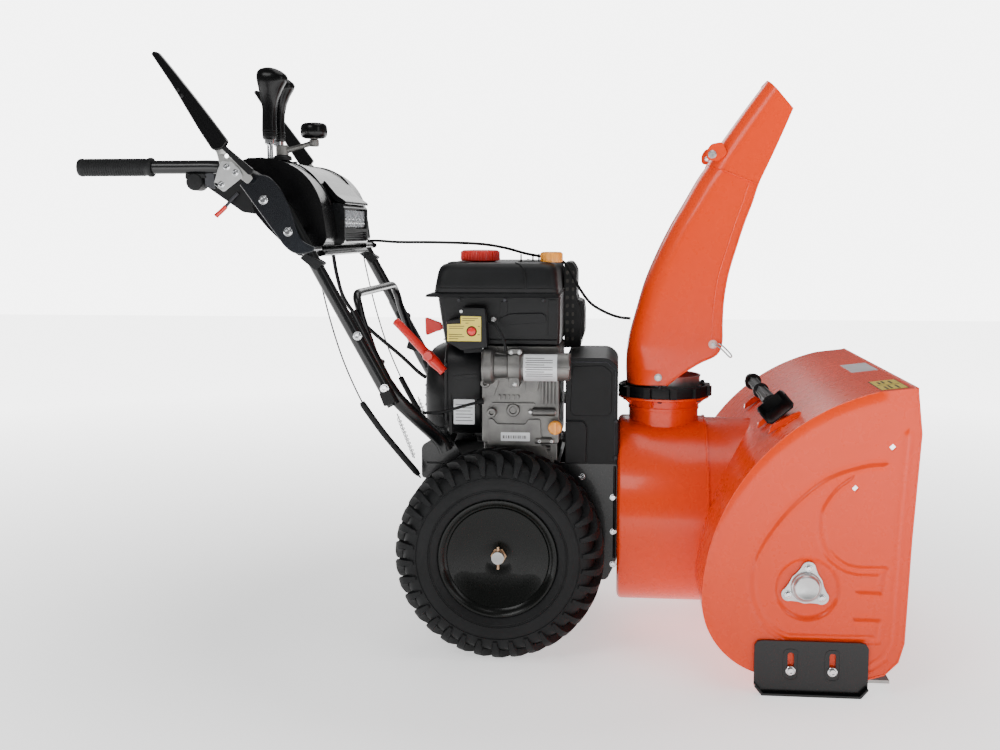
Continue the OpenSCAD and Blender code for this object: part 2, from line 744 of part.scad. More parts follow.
housing_side_right();
housing_side_left();
housing_back_sheet();
impeller_drum();
scraper_bar();
chute_retaining_ring();
auger_bearing_caps();
auger_gearbox();
fasteners();
clean_out_tool();
frame_box();
frame_bottom_cover();
shaft_bearings();
belt_cover();
belts_and_chain();
handlebar_lower();
handlebar_upper();
cross_brace();
console_shell();
console_side_plates();
headlight();
grips();
lever_brackets();
engine_block();
engine_shroud();
recoil_housing();
fuel_tank();
muffler();
starter_motor();
switch_box();
control_cables();
chute_cable();
wheel_axle();
wheel_rims();
tyres();
auger_shaft();
auger_flights();
impeller();
impeller_shaft();
engine_pulleys();
friction_disc();
hex_shaft();
friction_wheel();
chute_body();
chute_collar();
deflector();
clutch_lever_right();
clutch_lever_left();
speed_lever();
deflector_lever();
chute_crank();
crank_knob();
recoil_handle();
choke_knob();
start_button();
fuel_cap();
oil_fill_cap();
dipstick();
skid_shoe_right();
skid_shoe_left();
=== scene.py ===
import bpy, bmesh, math
from math import sin, cos, pi, radians, hypot
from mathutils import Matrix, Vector


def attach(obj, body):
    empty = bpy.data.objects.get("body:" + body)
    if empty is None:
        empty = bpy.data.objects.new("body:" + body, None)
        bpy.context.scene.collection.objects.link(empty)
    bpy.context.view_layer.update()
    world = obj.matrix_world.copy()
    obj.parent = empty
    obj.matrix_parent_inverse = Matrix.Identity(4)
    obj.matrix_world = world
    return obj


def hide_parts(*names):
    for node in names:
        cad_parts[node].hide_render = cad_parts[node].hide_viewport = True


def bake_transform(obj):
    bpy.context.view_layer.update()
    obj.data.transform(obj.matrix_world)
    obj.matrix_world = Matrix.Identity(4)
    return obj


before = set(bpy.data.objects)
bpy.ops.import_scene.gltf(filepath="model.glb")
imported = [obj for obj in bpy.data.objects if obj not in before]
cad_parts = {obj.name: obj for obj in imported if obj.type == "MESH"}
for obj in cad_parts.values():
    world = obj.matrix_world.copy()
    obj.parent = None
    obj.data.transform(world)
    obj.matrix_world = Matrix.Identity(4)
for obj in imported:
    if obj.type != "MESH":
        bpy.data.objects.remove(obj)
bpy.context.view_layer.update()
MM = 0.001
CHUTE_X = 332              # the chute turns about this upright line
HINGE_X, HINGE_Z = 415, 968   # the hood's hinge on the chute
STICK_X, STICK_Y = -472, 32   # the two sticks stand either side of the middle
CRANK_X, CRANK_Y, KNOB_X = -416, -140, -353

# ------------------------------ camera and light
LENS, SENSOR = 43.92, 36
CAMERA_PLACE, CAMERA_DOWN, CAMERA_TURN = (0.243, -2.497, 0.822), 6.75, 5.66
cam_data = bpy.data.cameras.new("camera")
cam_data.lens, cam_data.sensor_width = LENS, SENSOR
camera_ob = bpy.data.objects.new("camera", cam_data)
bpy.context.collection.objects.link(camera_ob)
camera_ob.location = CAMERA_PLACE
camera_ob.rotation_euler = (radians(90 - CAMERA_DOWN), 0, radians(CAMERA_TURN))
bpy.context.scene.camera = camera_ob


def area(name, place, aim, size, power, tint=(1, 1, 1)):
    data = bpy.data.lights.new(name, "AREA")
    data.shape, data.size, data.size_y = "RECTANGLE", size[0], size[1]
    data.energy, data.color = power, tint
    ob = bpy.data.objects.new(name, data)
    bpy.context.collection.objects.link(ob)
    ob.location = place
    ob.rotation_euler = (Vector(aim) - Vector(place)).to_track_quat("-Z", "Y").to_euler()


area("key", (-1.4, -2.6, 2.7), (0.1, 0, 0.5), (1.4, 1.0), 30)
area("fill", (2.4, -2.2, 1.7), (0.3, 0, 0.4), (0.7, 1.6), 12)
area("top", (0.3, 0.1, 3.0), (0.1, 0, 0.4), (2.4, 1.4), 32)
area("back", (-0.5, 2.8, 2.0), (0, 0, 0.5), (2.2, 1.4), 24)

world = bpy.data.worlds.new("studio")
bpy.context.scene.world = world
world.use_nodes = True
world_tree = world.node_tree
lit = world_tree.nodes["Background"]
lit.inputs[0].default_value = (1, 1, 1, 1)
lit.inputs[1].default_value = 0.22
plain = world_tree.nodes.new("ShaderNodeBackground")
plain.inputs[0].default_value = (1, 1, 1, 1)
plain.inputs[1].default_value = 6.0
ray, mix = world_tree.nodes.new("ShaderNodeLightPath"), world_tree.nodes.new("ShaderNodeMixShader")
world_tree.links.new(ray.outputs["Is Camera Ray"], mix.inputs[0])
world_tree.links.new(lit.outputs[0], mix.inputs[1])
world_tree.links.new(plain.outputs[0], mix.inputs[2])
world_tree.links.new(mix.outputs[0], world_tree.nodes["World Output"].inputs[0])


# ------------------------------ materials
def srgb(h):
    v = [int(h[i:i + 2], 16) / 255 for i in (0, 2, 4)]
    return tuple(c / 12.92 if c <= 0.04045 else ((c + 0.055) / 1.055) ** 2.4 for c in v) + (1,)


def material(name, tone, second, rough=(0.3, 0.4), metal=0.0, coat=0.0, patch=9.0, grain=400.0,
             bump=0.05, depth=0.0005, spec=0.5, stretch=None, coat_rough=0.05):
    mat = bpy.data.materials.new(name)
    mat.use_nodes = True
    tree = mat.node_tree
    shader = tree.nodes["Principled BSDF"]
    shader.inputs["Metallic"].default_value = metal
    shader.inputs["Coat Weight"].default_value = coat
    shader.inputs["Coat Roughness"].default_value = coat_rough
    shader.inputs["Specular IOR Level"].default_value = spec

    def node(kind, **values):
        n = tree.nodes.new(kind)
        for k, v in values.items():
            n.inputs[k].default_value = v
        return n

    place = node("ShaderNodeTexCoord")
    out = place.outputs["Object"]
    if stretch:
        squeeze = node("ShaderNodeMapping")
        squeeze.inputs["Scale"].default_value = stretch
        tree.links.new(out, squeeze.inputs["Vector"])
        out = squeeze.outputs["Vector"]
    wide = node("ShaderNodeTexNoise", Scale=patch, Detail=4.0, Roughness=0.6)
    fine = node("ShaderNodeTexNoise", Scale=grain, Detail=3.0, Roughness=0.65)
    for n in (wide, fine):
        tree.links.new(out, n.inputs["Vector"])
    ramp = node("ShaderNodeValToRGB")
    ramp.color_ramp.elements[0].position, ramp.color_ramp.elements[1].position = 0.35, 0.68
    ramp.color_ramp.elements[0].color, ramp.color_ramp.elements[1].color = srgb(tone), srgb(second)
    tree.links.new(wide.outputs["Fac"], ramp.inputs["Fac"])
    tree.links.new(ramp.outputs["Color"], shader.inputs["Base Color"])
    gloss = node("ShaderNodeMapRange")
    gloss.inputs["To Min"].default_value, gloss.inputs["To Max"].default_value = rough
    tree.links.new(fine.outputs["Fac"], gloss.inputs["Value"])
    tree.links.new(gloss.outputs["Result"], shader.inputs["Roughness"])
    relief = node("ShaderNodeBump", Strength=bump, Distance=depth)
    tree.links.new(fine.outputs["Fac"], relief.inputs["Height"])
    tree.links.new(relief.outputs["Normal"], shader.inputs["Normal"])
    return mat


M = {
    "orange": material("orange_enamel", "EE3C00", "EA4000", (0.25, 0.3), coat=0.14, spec=0.3, patch=3,
                       grain=30, bump=0.004, coat_rough=0.06),
    "black_paint": material("black_enamel", "070809", "0B0C0E", (0.24, 0.34), coat=0.2, patch=6,
                            grain=300, bump=0.006, spec=0.35),
    "blue_black": material("side_plate_enamel", "090C11", "0E131A", (0.2, 0.25), coat=0.35, patch=5,
                           grain=40, bump=0.004, spec=0.4),
    "gloss": material("gloss_black_shell", "040405", "070708", (0.22, 0.28), coat=0.05, spec=0.2, patch=5,
                      grain=40, bump=0.004),
    "matte": material("black_moulded", "0A0B0C", "101113", (0.42, 0.56), patch=12, grain=900, bump=0.25,
                      spec=0.25),
    "duct": material("shroud_moulded", "08090A", "0D0E10", (0.34, 0.48), patch=10, grain=900, bump=0.2,
                     spec=0.3),
    "grey": material("grey_black_enamel", "2A2B2E", "34353A", (0.35, 0.5), patch=8, grain=700, bump=0.15),
    "red": material("red_moulded", "D8201C", "E03028", (0.25, 0.36), coat=0.2, patch=12, grain=500),
    "amber": material("amber_moulded", "F0962A", "F5A53A", (0.3, 0.4), coat=0.15, patch=12, grain=500),
    "zinc": material("zinc_plate", "B9BABA", "D3D4D4", (0.26, 0.4), metal=0.9, patch=30, grain=500,
                     bump=0.08),
    "satin": material("satin_steel", "9A9A98", "B4B4B2", (0.3, 0.45), metal=0.95, patch=40, grain=600,
                      bump=0.1, stretch=(0.2, 1, 1)),
    "chrome": material("bright_steel", "D8DADC", "E8EAEC", (0.1, 0.18), metal=1.0, patch=20, grain=300,
                       bump=0.02),
    "alloy": material("cast_alloy", "626160", "7E7D7A", (0.34, 0.52), metal=0.85, patch=18, grain=700,
                      bump=0.45, depth=0.0008),
    "iron": material("dark_casting", "26272A", "34353A", (0.5, 0.66), metal=0.4, patch=14, grain=500,
                     bump=0.4),
    "lens": material("lamp_lens", "AEB4BC", "D5D9DE", (0.12, 0.22), metal=0.3, coat=0.8, patch=60,
                     grain=300),
    "rubber": material("black_rubber", "0C0D0E", "141516", (0.5, 0.66), patch=30, grain=900, bump=0.3,
                       spec=0.25),
    "tyre": material("tyre_rubber", "0D0E0F", "151617", (0.5, 0.68), patch=22, grain=600, bump=0.35,
                     spec=0.25),
    "rim": material("rim_enamel", "050705", "090B09", (0.24, 0.32), coat=0.08, patch=5, grain=260,
                    bump=0.006, spec=0.2),
    "copper": material("coated_hub", "B08A68", "D2B293", (0.35, 0.5), metal=0.5, patch=60, grain=500),
    "label": material("pale_foil", "C9CBCE", "DCDEE0", (0.35, 0.45), metal=0.2, patch=20, grain=200),
    "yellow": material("yellow_foil", "D8C24A", "E2CE58", (0.35, 0.45), patch=20, grain=200),
    "ink": material("dark_ink", "2B2A24", "383630", (0.4, 0.5), patch=20, grain=200),
    "pink": material("nylon_washer", "E8B8B0", "F2CCC4", (0.4, 0.5), patch=20, grain=300),
    "floor": material("pale_floor", "F1F1F1", "F5F5F5", (0.6, 0.7), patch=1.5, grain=60, bump=0.01),
}
# painted light: the floor glows, with emission 0.85 under the machine rising to 4.6 about 3.8 m away, so
# it reads near-white and lights the machine from below
tree = M["floor"].node_tree
spot, far, painted_floor_glow = (tree.nodes.new("ShaderNode" + k) for k in ("Mapping", "TexGradient", "MapRange"))
far.gradient_type = "SPHERICAL"
spot.inputs["Scale"].default_value = (0.26, 0.26, 0.26)
painted_floor_glow.inputs["From Min"].default_value, painted_floor_glow.inputs["From Max"].default_value = 0.0, 0.85
painted_floor_glow.inputs["To Min"].default_value, painted_floor_glow.inputs["To Max"].default_value = 4.6, 0.85
tree.links.new(tree.nodes["Texture Coordinate"].outputs["Object"], spot.inputs["Vector"])
tree.links.new(spot.outputs["Vector"], far.inputs["Vector"])
tree.links.new(far.outputs["Fac"], painted_floor_glow.inputs["Value"])
shader = tree.nodes["Principled BSDF"]
shader.inputs["Emission Color"].default_value = (1, 1, 1, 1)
tree.links.new(painted_floor_glow.outputs["Result"], shader.inputs["Emission Strength"])


# ------------------------------ mesh helpers, in millimetres
class Shape:
    def __init__(self):
        self.v, self.f = [], []

    def add(self, verts, faces):
        n = len(self.v)
        self.v += [tuple(p) for p in verts]
        self.f += [tuple(i + n for i in f) for f in faces]
        return self

    def rings(self, rings, close=True, caps=(True, True), wrap=False):
        m, verts, faces = len(rings[0]), [p for r in rings for p in r], []
        last = len(rings) if wrap else len(rings) - 1
        for i in range(last):
            a, b = i * m, ((i + 1) % len(rings)) * m
            for k in range(m if close else m - 1):
                j = (k + 1) % m
                faces.append((a + k, a + j, b + j, b + k))
        if caps[0] and not wrap:
            faces.append(tuple(range(m - 1, -1, -1)))
        if caps[1] and not wrap:
            faces.append(tuple((len(rings) - 1) * m + k for k in range(m)))
        return self.add(verts, faces)

    def prism(self, pts, a, b, axis="y"):
        put = {"y": lambda p, t: (p[0], t, p[1]), "x": lambda p, t: (t, p[0], p[1]),
               "z": lambda p, t: (p[0], p[1], t)}[axis]
        return self.rings([[put(p, a) for p in pts], [put(p, b) for p in pts]])

    def box(self, lo, hi):
        return self.prism([(lo[0], lo[2]), (hi[0], lo[2]), (hi[0], hi[2]), (lo[0], hi[2])], lo[1], hi[1])

    def lathe(self, profile, centre, axis="y", n=64, close=False, turn=0.0):
        """profile is (radius, distance along axis); closed profiles make rings."""
        c = Vector(centre)
        e = {"x": (Vector((0, 1, 0)), Vector((0, 0, 1)), Vector((1, 0, 0))),
             "y": (Vector((1, 0, 0)), Vector((0, 0, 1)), Vector((0, 1, 0))),
             "z": (Vector((1, 0, 0)), Vector((0, 1, 0)), Vector((0, 0, 1)))}
        u, w, t = e[axis] if isinstance(axis, str) else axis
        rings = [[c + (cos(2 * pi * k / n + turn) * u + sin(2 * pi * k / n + turn) * w) * r + t * h
                  for k in range(n)] for r, h in profile]
        ends = (not close and profile[0][0] > 0.01, not close and profile[-1][0] > 0.01)
        return self.rings(rings, caps=ends, wrap=close)

    def tube(self, path, r, n=12, caps=True, flat=1.0):
        pts = [Vector(p) for p in path]
        rr = r if isinstance(r, (list, tuple)) else [r] * len(pts)
        rings, u = [], None
        for i, p in enumerate(pts):
            t = (pts[min(i + 1, len(pts) - 1)] - pts[max(i - 1, 0)]).normalized()
            if u is None:
                u = t.orthogonal().normalized()
            u = (u - t * u.dot(t)).normalized()
            w = t.cross(u)
            rings.append([p + (cos(2 * pi * k / n) * u + sin(2 * pi * k / n) * w * flat) * rr[i]
                          for k in range(n)])
        return self.rings(rings, caps=(caps, caps))


def smooth_path(pts, per=8):
    """Catmull-Rom through the points."""
    p = [Vector(q) for q in pts]
    p = [2 * p[0] - p[1]] + p + [2 * p[-1] - p[-2]]
    out = []
    for i in range(1, len(p) - 2):
        for k in range(per):
            t = k / per
            out.append(0.5 * ((2 * p[i]) + (p[i + 1] - p[i - 1]) * t
                       + (2 * p[i - 1] - 5 * p[i] + 4 * p[i + 1] - p[i + 2]) * t * t
                       + (3 * p[i] - p[i - 1] - 3 * p[i + 1] + p[i + 2]) * t ** 3))
    return out + [p[-2]]


def arc(cx, cz, r, a0, a1, n):
    return [(cx + r * cos(radians(a0 + (a1 - a0) * i / n)), cz + r * sin(radians(a0 + (a1 - a0) * i / n)))
            for i in range(n + 1)]


def rounded(pts, r, n=4):
    """A polygon with its corners rounded."""
    out, m = [], len(pts)
    for i in range(m):
        p, a, b = Vector(pts[i]), Vector(pts[i - 1]), Vector(pts[(i + 1) % m])
        ri = r[i] if isinstance(r, (list, tuple)) else r
        da, db = (a - p), (b - p)
        d = min(ri, da.length * 0.45, db.length * 0.45)
        s, e = p + da.normalized() * d, p + db.normalized() * d
        for k in range(n + 1):
            t = k / n
            out.append(tuple((1 - t) ** 2 * s + 2 * t * (1 - t) * p + t * t * e))
    return out


def oval(x0, x1, y0, y1, r, n=5):
    return rounded([(x0, y0), (x1, y0), (x1, y1), (x0, y1)], r, n)


def piece(name, shape, mat, body="chassis", swap=(), bevel=0.0, seg=3, angle=35, subdiv=0, mirror=False):
    me = bpy.data.meshes.new(name)
    verts, faces = list(shape.v), list(shape.f)
    if mirror:
        n = len(verts)
        verts += [(x, -y, z) for x, y, z in shape.v]
        faces += [tuple(i + n for i in reversed(f)) for f in shape.f]
    me.from_pydata([(x * MM, y * MM, z * MM) for x, y, z in verts], [], faces)
    bm = bmesh.new()
    bm.from_mesh(me)
    bmesh.ops.remove_doubles(bm, verts=bm.verts, dist=2e-6)
    bmesh.ops.dissolve_degenerate(bm, dist=1e-6, edges=bm.edges)
    bmesh.ops.recalc_face_normals(bm, faces=bm.faces)
    for e in bm.edges:
        e.smooth = not (len(e.link_faces) == 2 and e.calc_face_angle(0) > radians(angle))
    for f in bm.faces:
        f.smooth = True
    bm.to_mesh(me)
    bm.free()
    ob = bpy.data.objects.new(name, me)
    bpy.context.collection.objects.link(ob)
    me.materials.append(M[mat])
    if subdiv:
        s = ob.modifiers.new("subdivide", "SUBSURF")
        s.levels = s.render_levels = subdiv
    if bevel:
        b = ob.modifiers.new("edges", "BEVEL")
        b.width, b.segments, b.limit_method, b.angle_limit = bevel * MM, seg, "ANGLE", radians(30)
        b.harden_normals = True
    if body:
        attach(ob, body)
    if swap:
        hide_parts(*swap)
    return ob


def carve(ob, cutter_shape):
    """Cuts a closed shape out of a piece and keeps the result as its mesh."""
    me = bpy.data.meshes.new("cutter")
    me.from_pydata([(x * MM, y * MM, z * MM) for x, y, z in cutter_shape.v], [], cutter_shape.f)
    bm = bmesh.new()
    bm.from_mesh(me)
    bmesh.ops.recalc_face_normals(bm, faces=bm.faces)
    bm.to_mesh(me)
    bm.free()
    cutter = bpy.data.objects.new("cutter", me)
    bpy.context.collection.objects.link(cutter)
    m = ob.modifiers.new("cut", "BOOLEAN")
    m.object, m.operation, m.solver = cutter, "DIFFERENCE", "EXACT"
    dg = bpy.context.evaluated_depsgraph_get()
    done = bpy.data.meshes.new_from_object(ob.evaluated_get(dg))
    ob.modifiers.remove(m)
    ob.data = done
    bpy.data.objects.remove(cutter)


def paint(mat, *nodes):
    """Gives carried-over CAD nodes their finish."""
    for n in nodes:
        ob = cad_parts[n]
        ob = bpy.data.objects[ob] if isinstance(ob, str) else ob
        ob.data.materials.clear()
        ob.data.materials.append(M[mat])


def screw(shape, x, y, z, r, sign=-1, washer=1.35, high=0.75):
    """A hexagon-socket head on a washer, standing along Y."""
    s = sign
    shape.lathe([(r * washer, 0), (r * washer, s * 1.2), (r * washer - 0.6, s * 1.7),
                 (r * 0.95, s * 1.7)], (x, y, z), n=32)
    h = r * high + 1.7
    shape.lathe([(r, s * 1.7), (r, s * (h - 0.8)), (r - 0.8, s * h), (r * 0.52, s * h),
                 (r * 0.5, s * (h - r * 0.4)), (0.001, s * (h - r * 0.42))], (x, y, z), n=24)


# ------------------------------ auger housing
def back_line(inset, n1=20, n2=40):
    return ([(686, 29 + inset)] + arc(531, 167, 138 - inset, -90, -180, n1) + arc(785, 165, 392 - inset,
            179, 104, n2)
            + [(753, 553 - inset)])


front_line = [(762, 473), (752, 286), (746, 98), (737, 64), (714, 40)]
SIDE = 355.5
outer_rib = [(700, 418), (668, 414), (610, 393), (560, 353), (518, 303), (486, 243), (481, 188),
             (496, 142), (520, 114), (545, 102), (703, 103), (706, 139), (664, 139)]
inner_rib = [(645, 392), (621, 371), (600, 338), (597, 309), (602, 278), (616, 252), (640, 234),
             (662, 228), (709, 228), (705, 188), (668, 189)]
front_step = [(742, 470), (733, 286), (727, 100), (716, 72), (690, 52), (660, 48)]


def signed(p, line):
    best, side = 1e9, 1
    for a, b in zip(line, line[1:]):
        dx, dz = b[0] - a[0], b[1] - a[1]
        t = max(0, min(1, ((p[0] - a[0]) * dx + (p[1] - a[1]) * dz) / (dx * dx + dz * dz)))
        ex, ez = p[0] - a[0] - t * dx, p[1] - a[1] - t * dz
        d = hypot(ex, ez)
        if d < best:
            best, side = d, (1 if dx * ez - dz * ex > 0 else -1)
    return best * side


outer_soft = [tuple(q)[:2] for q in smooth_path([(x, z, 0) for x, z in outer_rib[:10]],
                                                5)] + outer_rib[10:]
inner_soft = [tuple(q)[:2] for q in smooth_path([(x, z, 0) for x, z in inner_rib[:8]], 5)] + inner_rib[8:]


def emboss(x, z):
    """How far the pressed side stands out of its plane."""
    h = 0.0
    for line, high in ((outer_soft, 2.6), (inner_soft, 2.4), (front_step, -2.6)):
        s = signed((x, z), line) / 5.0
        if abs(s) < 4:
            h += high * s * math.exp(-s * s) * 1.6
    d = hypot(x - 577, z - 192)
    if d < 75:
        h -= 5.0 * (1 - min(1, max(0, (d - 50) / 9)) ** 2 * (3 - 2 * min(1, max(0, (d - 50) / 9))))
    return h


def housing_side(mirror):
    line = back_line(0, 24, 60) + front_line
    n, steps = 420, 84
    closed = [Vector(p) for p in line + [line[0]]]
    lengths = [0]
    for a, b in zip(closed, closed[1:]):
        lengths.append(lengths[-1] + (b - a).length)
    edge, seg = [], 0
    for k in range(n):
        want = lengths[-1] * k / n
        while lengths[seg + 1] < want:
            seg += 1
        t = (want - lengths[seg]) / (lengths[seg + 1] - lengths[seg])
        edge.append(closed[seg].lerp(closed[seg + 1], t))
    hub = Vector((577, 260))
    s = Shape()
    rings = []
    back = back_line(0, 24, 60)[1:-1]
    for i in range(steps + 1):
        t = (1 - i / steps) ** 0.9
        ring = []
        for e in edge:
            p = hub.lerp(e, max(t, 0.004))
            d = abs(signed(p, back)) if t > 0.75 else 99
            roll = 3.4 * max(0, 1 - d / 20) ** 2.2
            ring.append((p.x, -(SIDE + emboss(p.x, p.y) - roll), p.y))
        rings.append(ring)
    inside = [[(e.x, -SIDE + 3.6, e.y) for e in edge], [(hub.x + (e.x - hub.x) * 0.004, -SIDE + 3.6 + 6,
                                                         hub.y + (e.y - hub.y) * 0.004) for e in edge]]
    s.rings(list(reversed(rings)) + inside)
    name = "housing_side_panel_left" if mirror else "housing_side_panel_right"
    if mirror:
        s.v = [(x, -y, z) for x, y, z in s.v]
    ob = piece(name, s, "orange", swap=["housing_side_left" if mirror else "housing_side_right"],
               angle=50)
    cut = Shape()
    y = SIDE if mirror else -SIDE
    for x, z in ((715, 449), (654, 375)):
        cut.prism([(x - 6, z), (x, z - 6), (x + 6, z), (x, z + 6)], y - 14, y + 14)
    carve(ob, cut)
    for f in ob.data.polygons:
        f.use_smooth = True


housing_side(False)
housing_side(True)

W = SIDE - 3
DZ = 256
sheet = Shape()
outer = back_line(0, 30, 90)
inner = back_line(3, 30, 90)
sheet.prism(outer + inner[::-1], -W, W)
back = piece("housing_back", sheet, "orange", swap=["housing_back_sheet"], angle=25)
cut = Shape().lathe([(183, 380), (183, 560)], (0, 0, DZ), "x", n=96)
carve(back, cut)

# fold along the roof and the rolled front edge
trim = Shape()
trim.tube([(753, -W, 551), (753, W, 551)], 3.4, 12)
trim.tube(smooth_path([(686, -W, 31), (686, W, 31)], 2), 3.0, 10)
piece("housing_lips", trim, "orange")
for s in (-1, 1):
    edge = Shape()
    edge.tube([(753, s * (SIDE - 1.5), 551), (762, s * (SIDE - 1.5), 473), (752, s * (SIDE - 1.5), 286),
               (746, s * (SIDE - 1.5), 98), (737, s * (SIDE - 1.5), 64), (714, s * (SIDE - 1.5), 40),
               (686, s * (SIDE - 1.5), 31)], 2.6, 10)
    piece("housing_front_roll_" + ("left" if s > 0 else "right"), edge, "orange", angle=60)

# ------------------------------ impeller drum and neck
drum = Shape()
drum.lathe([(16, 240), (176, 240), (182, 241), (187, 244.5), (189, 249), (189, 411), (190.5, 412),
            (190.5, 415.5),
            (189, 416), (186, 416), (186, 250), (183, 245), (176, 243), (16, 243)], (0, 0, DZ), "x",
           n=160, close=True)
drum_ob = piece("drum_shell", drum, "orange", swap=["impeller_drum"], angle=28)
carve(drum_ob, Shape().lathe([(67, 300), (67, 520)], (CHUTE_X, 0, 0), "z", n=64))
collar = Shape().lathe([(186, 415), (186, 560), (183, 560), (183, 415)], (0, 0, DZ), "x", n=160,
                       close=True)
collar_ob = piece("drum_collar", collar, "orange", angle=28)
carve(collar_ob, Shape().prism(back_line(1.5, 30, 90) + front_line, -420, 420))
neck = Shape()
neck.lathe([(67, 430), (70, 430), (70, 482), (73, 485), (91, 485.5), (92, 486.5), (92, 489), (91, 490),
            (67, 490)], (CHUTE_X, 0, 0), "z", n=96, close=True)
neck.lathe([(70.2, 462), (71.6, 463), (71.6, 468), (70.2, 469)], (CHUTE_X, 0, 0), "z", n=96, close=True)
piece("chute_neck", neck, "orange")
gusset = Shape()
for a in (200, 340, 250, 290):
    c, d = cos(radians(a)), sin(radians(a))
    p = [(CHUTE_X + 70 * c, 70 * d), (CHUTE_X + 88 * c, 88 * d)]
    gusset.rings([[(p[0][0] - 2 * d, p[0][1] + 2 * c, 470), (p[1][0] - 2 * d, p[1][1] + 2 * c, 485),
                   (p[0][0] - 2 * d, p[0][1] + 2 * c, 485)],
                  [(p[0][0] + 2 * d, p[0][1] - 2 * c, 470), (p[1][0] + 2 * d, p[1][1] - 2 * c, 485),
                   (p[0][0] + 2 * d, p[0][1] - 2 * c, 485)]])
piece("neck_gussets", gusset, "orange")

# retaining ring with its lugs, bolts and drive housing
ring = Shape()
ring.lathe([(84, 500.5), (89, 500.5), (89.5, 492), (90.2, 490.8), (91.2, 491), (91.7, 494), (91.9, 500),
            (91.9, 509), (91, 512), (86, 512), (84, 510)], (CHUTE_X, 0, 0), "z", n=128, close=True)
for k in range(10):
    a = radians(-144 + 32 * k)
    c, d = cos(a), sin(a)
    pad = [(CHUTE_X + r * c - t * d, r * d + t * c) for r, t in ((88, -9), (97.5, -7), (98, 7), (88, 9))]
    ring.prism(pad, 491, 511, "z")
piece("ring_moulding", ring, "matte", swap=["chute_retaining_ring"], bevel=0.8)
drive = Shape()
drive.prism(oval(300, 345, 86, 118, 7), 491, 514, "z")
drive.lathe([(7, 478), (7, 500), (5, 516), (5, 521), (0.01, 521)], (322, 106, 0), "z", n=24)
piece("chute_drive_box", drive, "matte", bevel=1.2)
lug = Shape()
for k in range(6):
    a = radians(60 * k + 23)
    lug.lathe([(4.2, 511), (4.2, 515), (3.4, 516), (0.01, 516)],
              (CHUTE_X + 87.4 * cos(a), 87.4 * sin(a), 0), "z", n=6)
    lug.lathe([(4.2, 482), (4.2, 486), (0.01, 486)], (CHUTE_X + 85 * cos(a), 85 * sin(a), 0), "z", n=6)
piece("ring_bolts", lug, "iron")
band = Shape()
band.lathe([(70.4, 491), (72.6, 491), (73, 494), (73, 527), (74.2, 529), (74.2, 531), (72.5, 532),
            (70.4, 531)], (CHUTE_X, 0, 0), "z", n=128, close=True)
band.lathe([(72.8, 490.5), (87, 490.5), (87.5, 494), (87, 498), (72.8, 499)], (CHUTE_X, 0, 0), "z", n=96,
           close=True)
piece("chute_collar_band", band, "zinc", "chute", swap=["chute_collar"])

# ------------------------------ chute and deflector
back_pts = [(256, 517), (255, 540), (255, 557), (256, 580), (260, 607), (267, 635), (276, 668),
            (291, 720), (313, 774), (339, 828), (369, 881), (392, 922), (412, 952)]
front_pts = [(334, 517), (362, 540), (397, 563), (430, 580), (440, 604), (440, 640), (442, 688),
             (450, 740), (467, 801), (479, 840), (492, 876), (500, 903), (506, 920)]


def section(b, f, hw, inset, flare=0.0, round_to=42, n=10):
    b, f = Vector(b), Vector(f)
    d = (f - b).length
    u = (f - b) / d
    r = min(round_to, hw)
    ru = min(r, d * 0.5)
    pts = [(d, -(hw + flare - inset)), (d * 0.93, -(hw + flare * 0.5 - inset)), (d * 0.8, -(hw - inset)),
           (d * 0.62, -(hw - inset))]
    for i in range(n + 1):
        a = radians(270 - 90 * i / n)
        pts.append((ru + (ru - inset) * cos(a), -(hw - r) + (r - inset) * sin(a)))
    full = pts + [(p, -q) for p, q in reversed(pts)]
    return [(b.x + u.x * p, q, b.y + u.y * p) for p, q in full]


def chute_shell(backs, fronts, hw, thick, name, body, swap, rounds=None, hem=2.6):
    bs = [tuple(q)[:2] for q in smooth_path([(x, z, 0) for x, z in backs], 5)]
    fs = [tuple(q)[:2] for q in smooth_path([(x, z, 0) for x, z in fronts], 5)]
    s = Shape()
    rings = []
    for i, (b, f) in enumerate(zip(bs, fs)):
        ro = rounds(i / (len(bs) - 1)) if rounds else 42
        outer = section(b, f, hw, 0, round_to=ro)
        inner = section(b, f, hw, thick, round_to=ro)
        rings.append(outer + inner[::-1])
    s.rings(rings)
    ob = piece(name, s, "orange", body, swap=swap, angle=40)
    beads = Shape()
    for side in (-1, 1):
        beads.tube([(f[0], side * (hw - thick / 2), f[1]) for f in fs], hem, 10)
    piece(name + "_hems", beads, "orange", body)
    return bs, fs


bs, fs = chute_shell(back_pts, front_pts, 78, 2, "chute_shell", "chute", ["chute_body"],
                     rounds=lambda t: 72 - 30 * min(1, t / 0.3))
# pressed crease along each side, near the front edge
crease = Shape()
for side in (-1, 1):
    line = []
    for i in range(20, 58):
        b, f = Vector(bs[i]), Vector(fs[i])
        q = f + (b - f).normalized() * (16 + 4 * (1 - i / 58))
        line.append((q.x, side * 77.05, q.y))
    crease.tube(line, 1.9, 8, flat=1.0)
piece("chute_creases", crease, "orange", "chute")
hood_back = [(409, 949), (424, 974), (448, 1009), (484, 1060), (520, 1109)]
hood_front = [(503, 911), (507, 919), (531, 972), (549, 1014), (566, 1055)]
chute_shell(hood_back, hood_front, 81, 2, "deflector_hood", "chute_deflector", ["deflector"],
            rounds=lambda t: 38 - 6 * t, hem=1.0)
ears = Shape()
for side in (-1, 1):
    y0, y1 = (79, 81) if side > 0 else (-81, -79)
    ears.prism(rounded([(405, 958), (404, 975), (412, 988), (434, 992), (444, 970), (425, 955)], 6), y0,
               y1)
piece("deflector_ears", ears, "orange", "chute_deflector", bevel=0.5)
lip = Shape()
lip.tube([(520, -48, 1108), (520, 48, 1108)], 2.2, 8)
for side in (-1, 1):
    lip.tube([(432, side * 81.3, 940), (504, side * 81.3, 911)], 1.3, 8)
piece("deflector_edge_hems", lip, "orange", "chute_deflector")
pins = Shape()
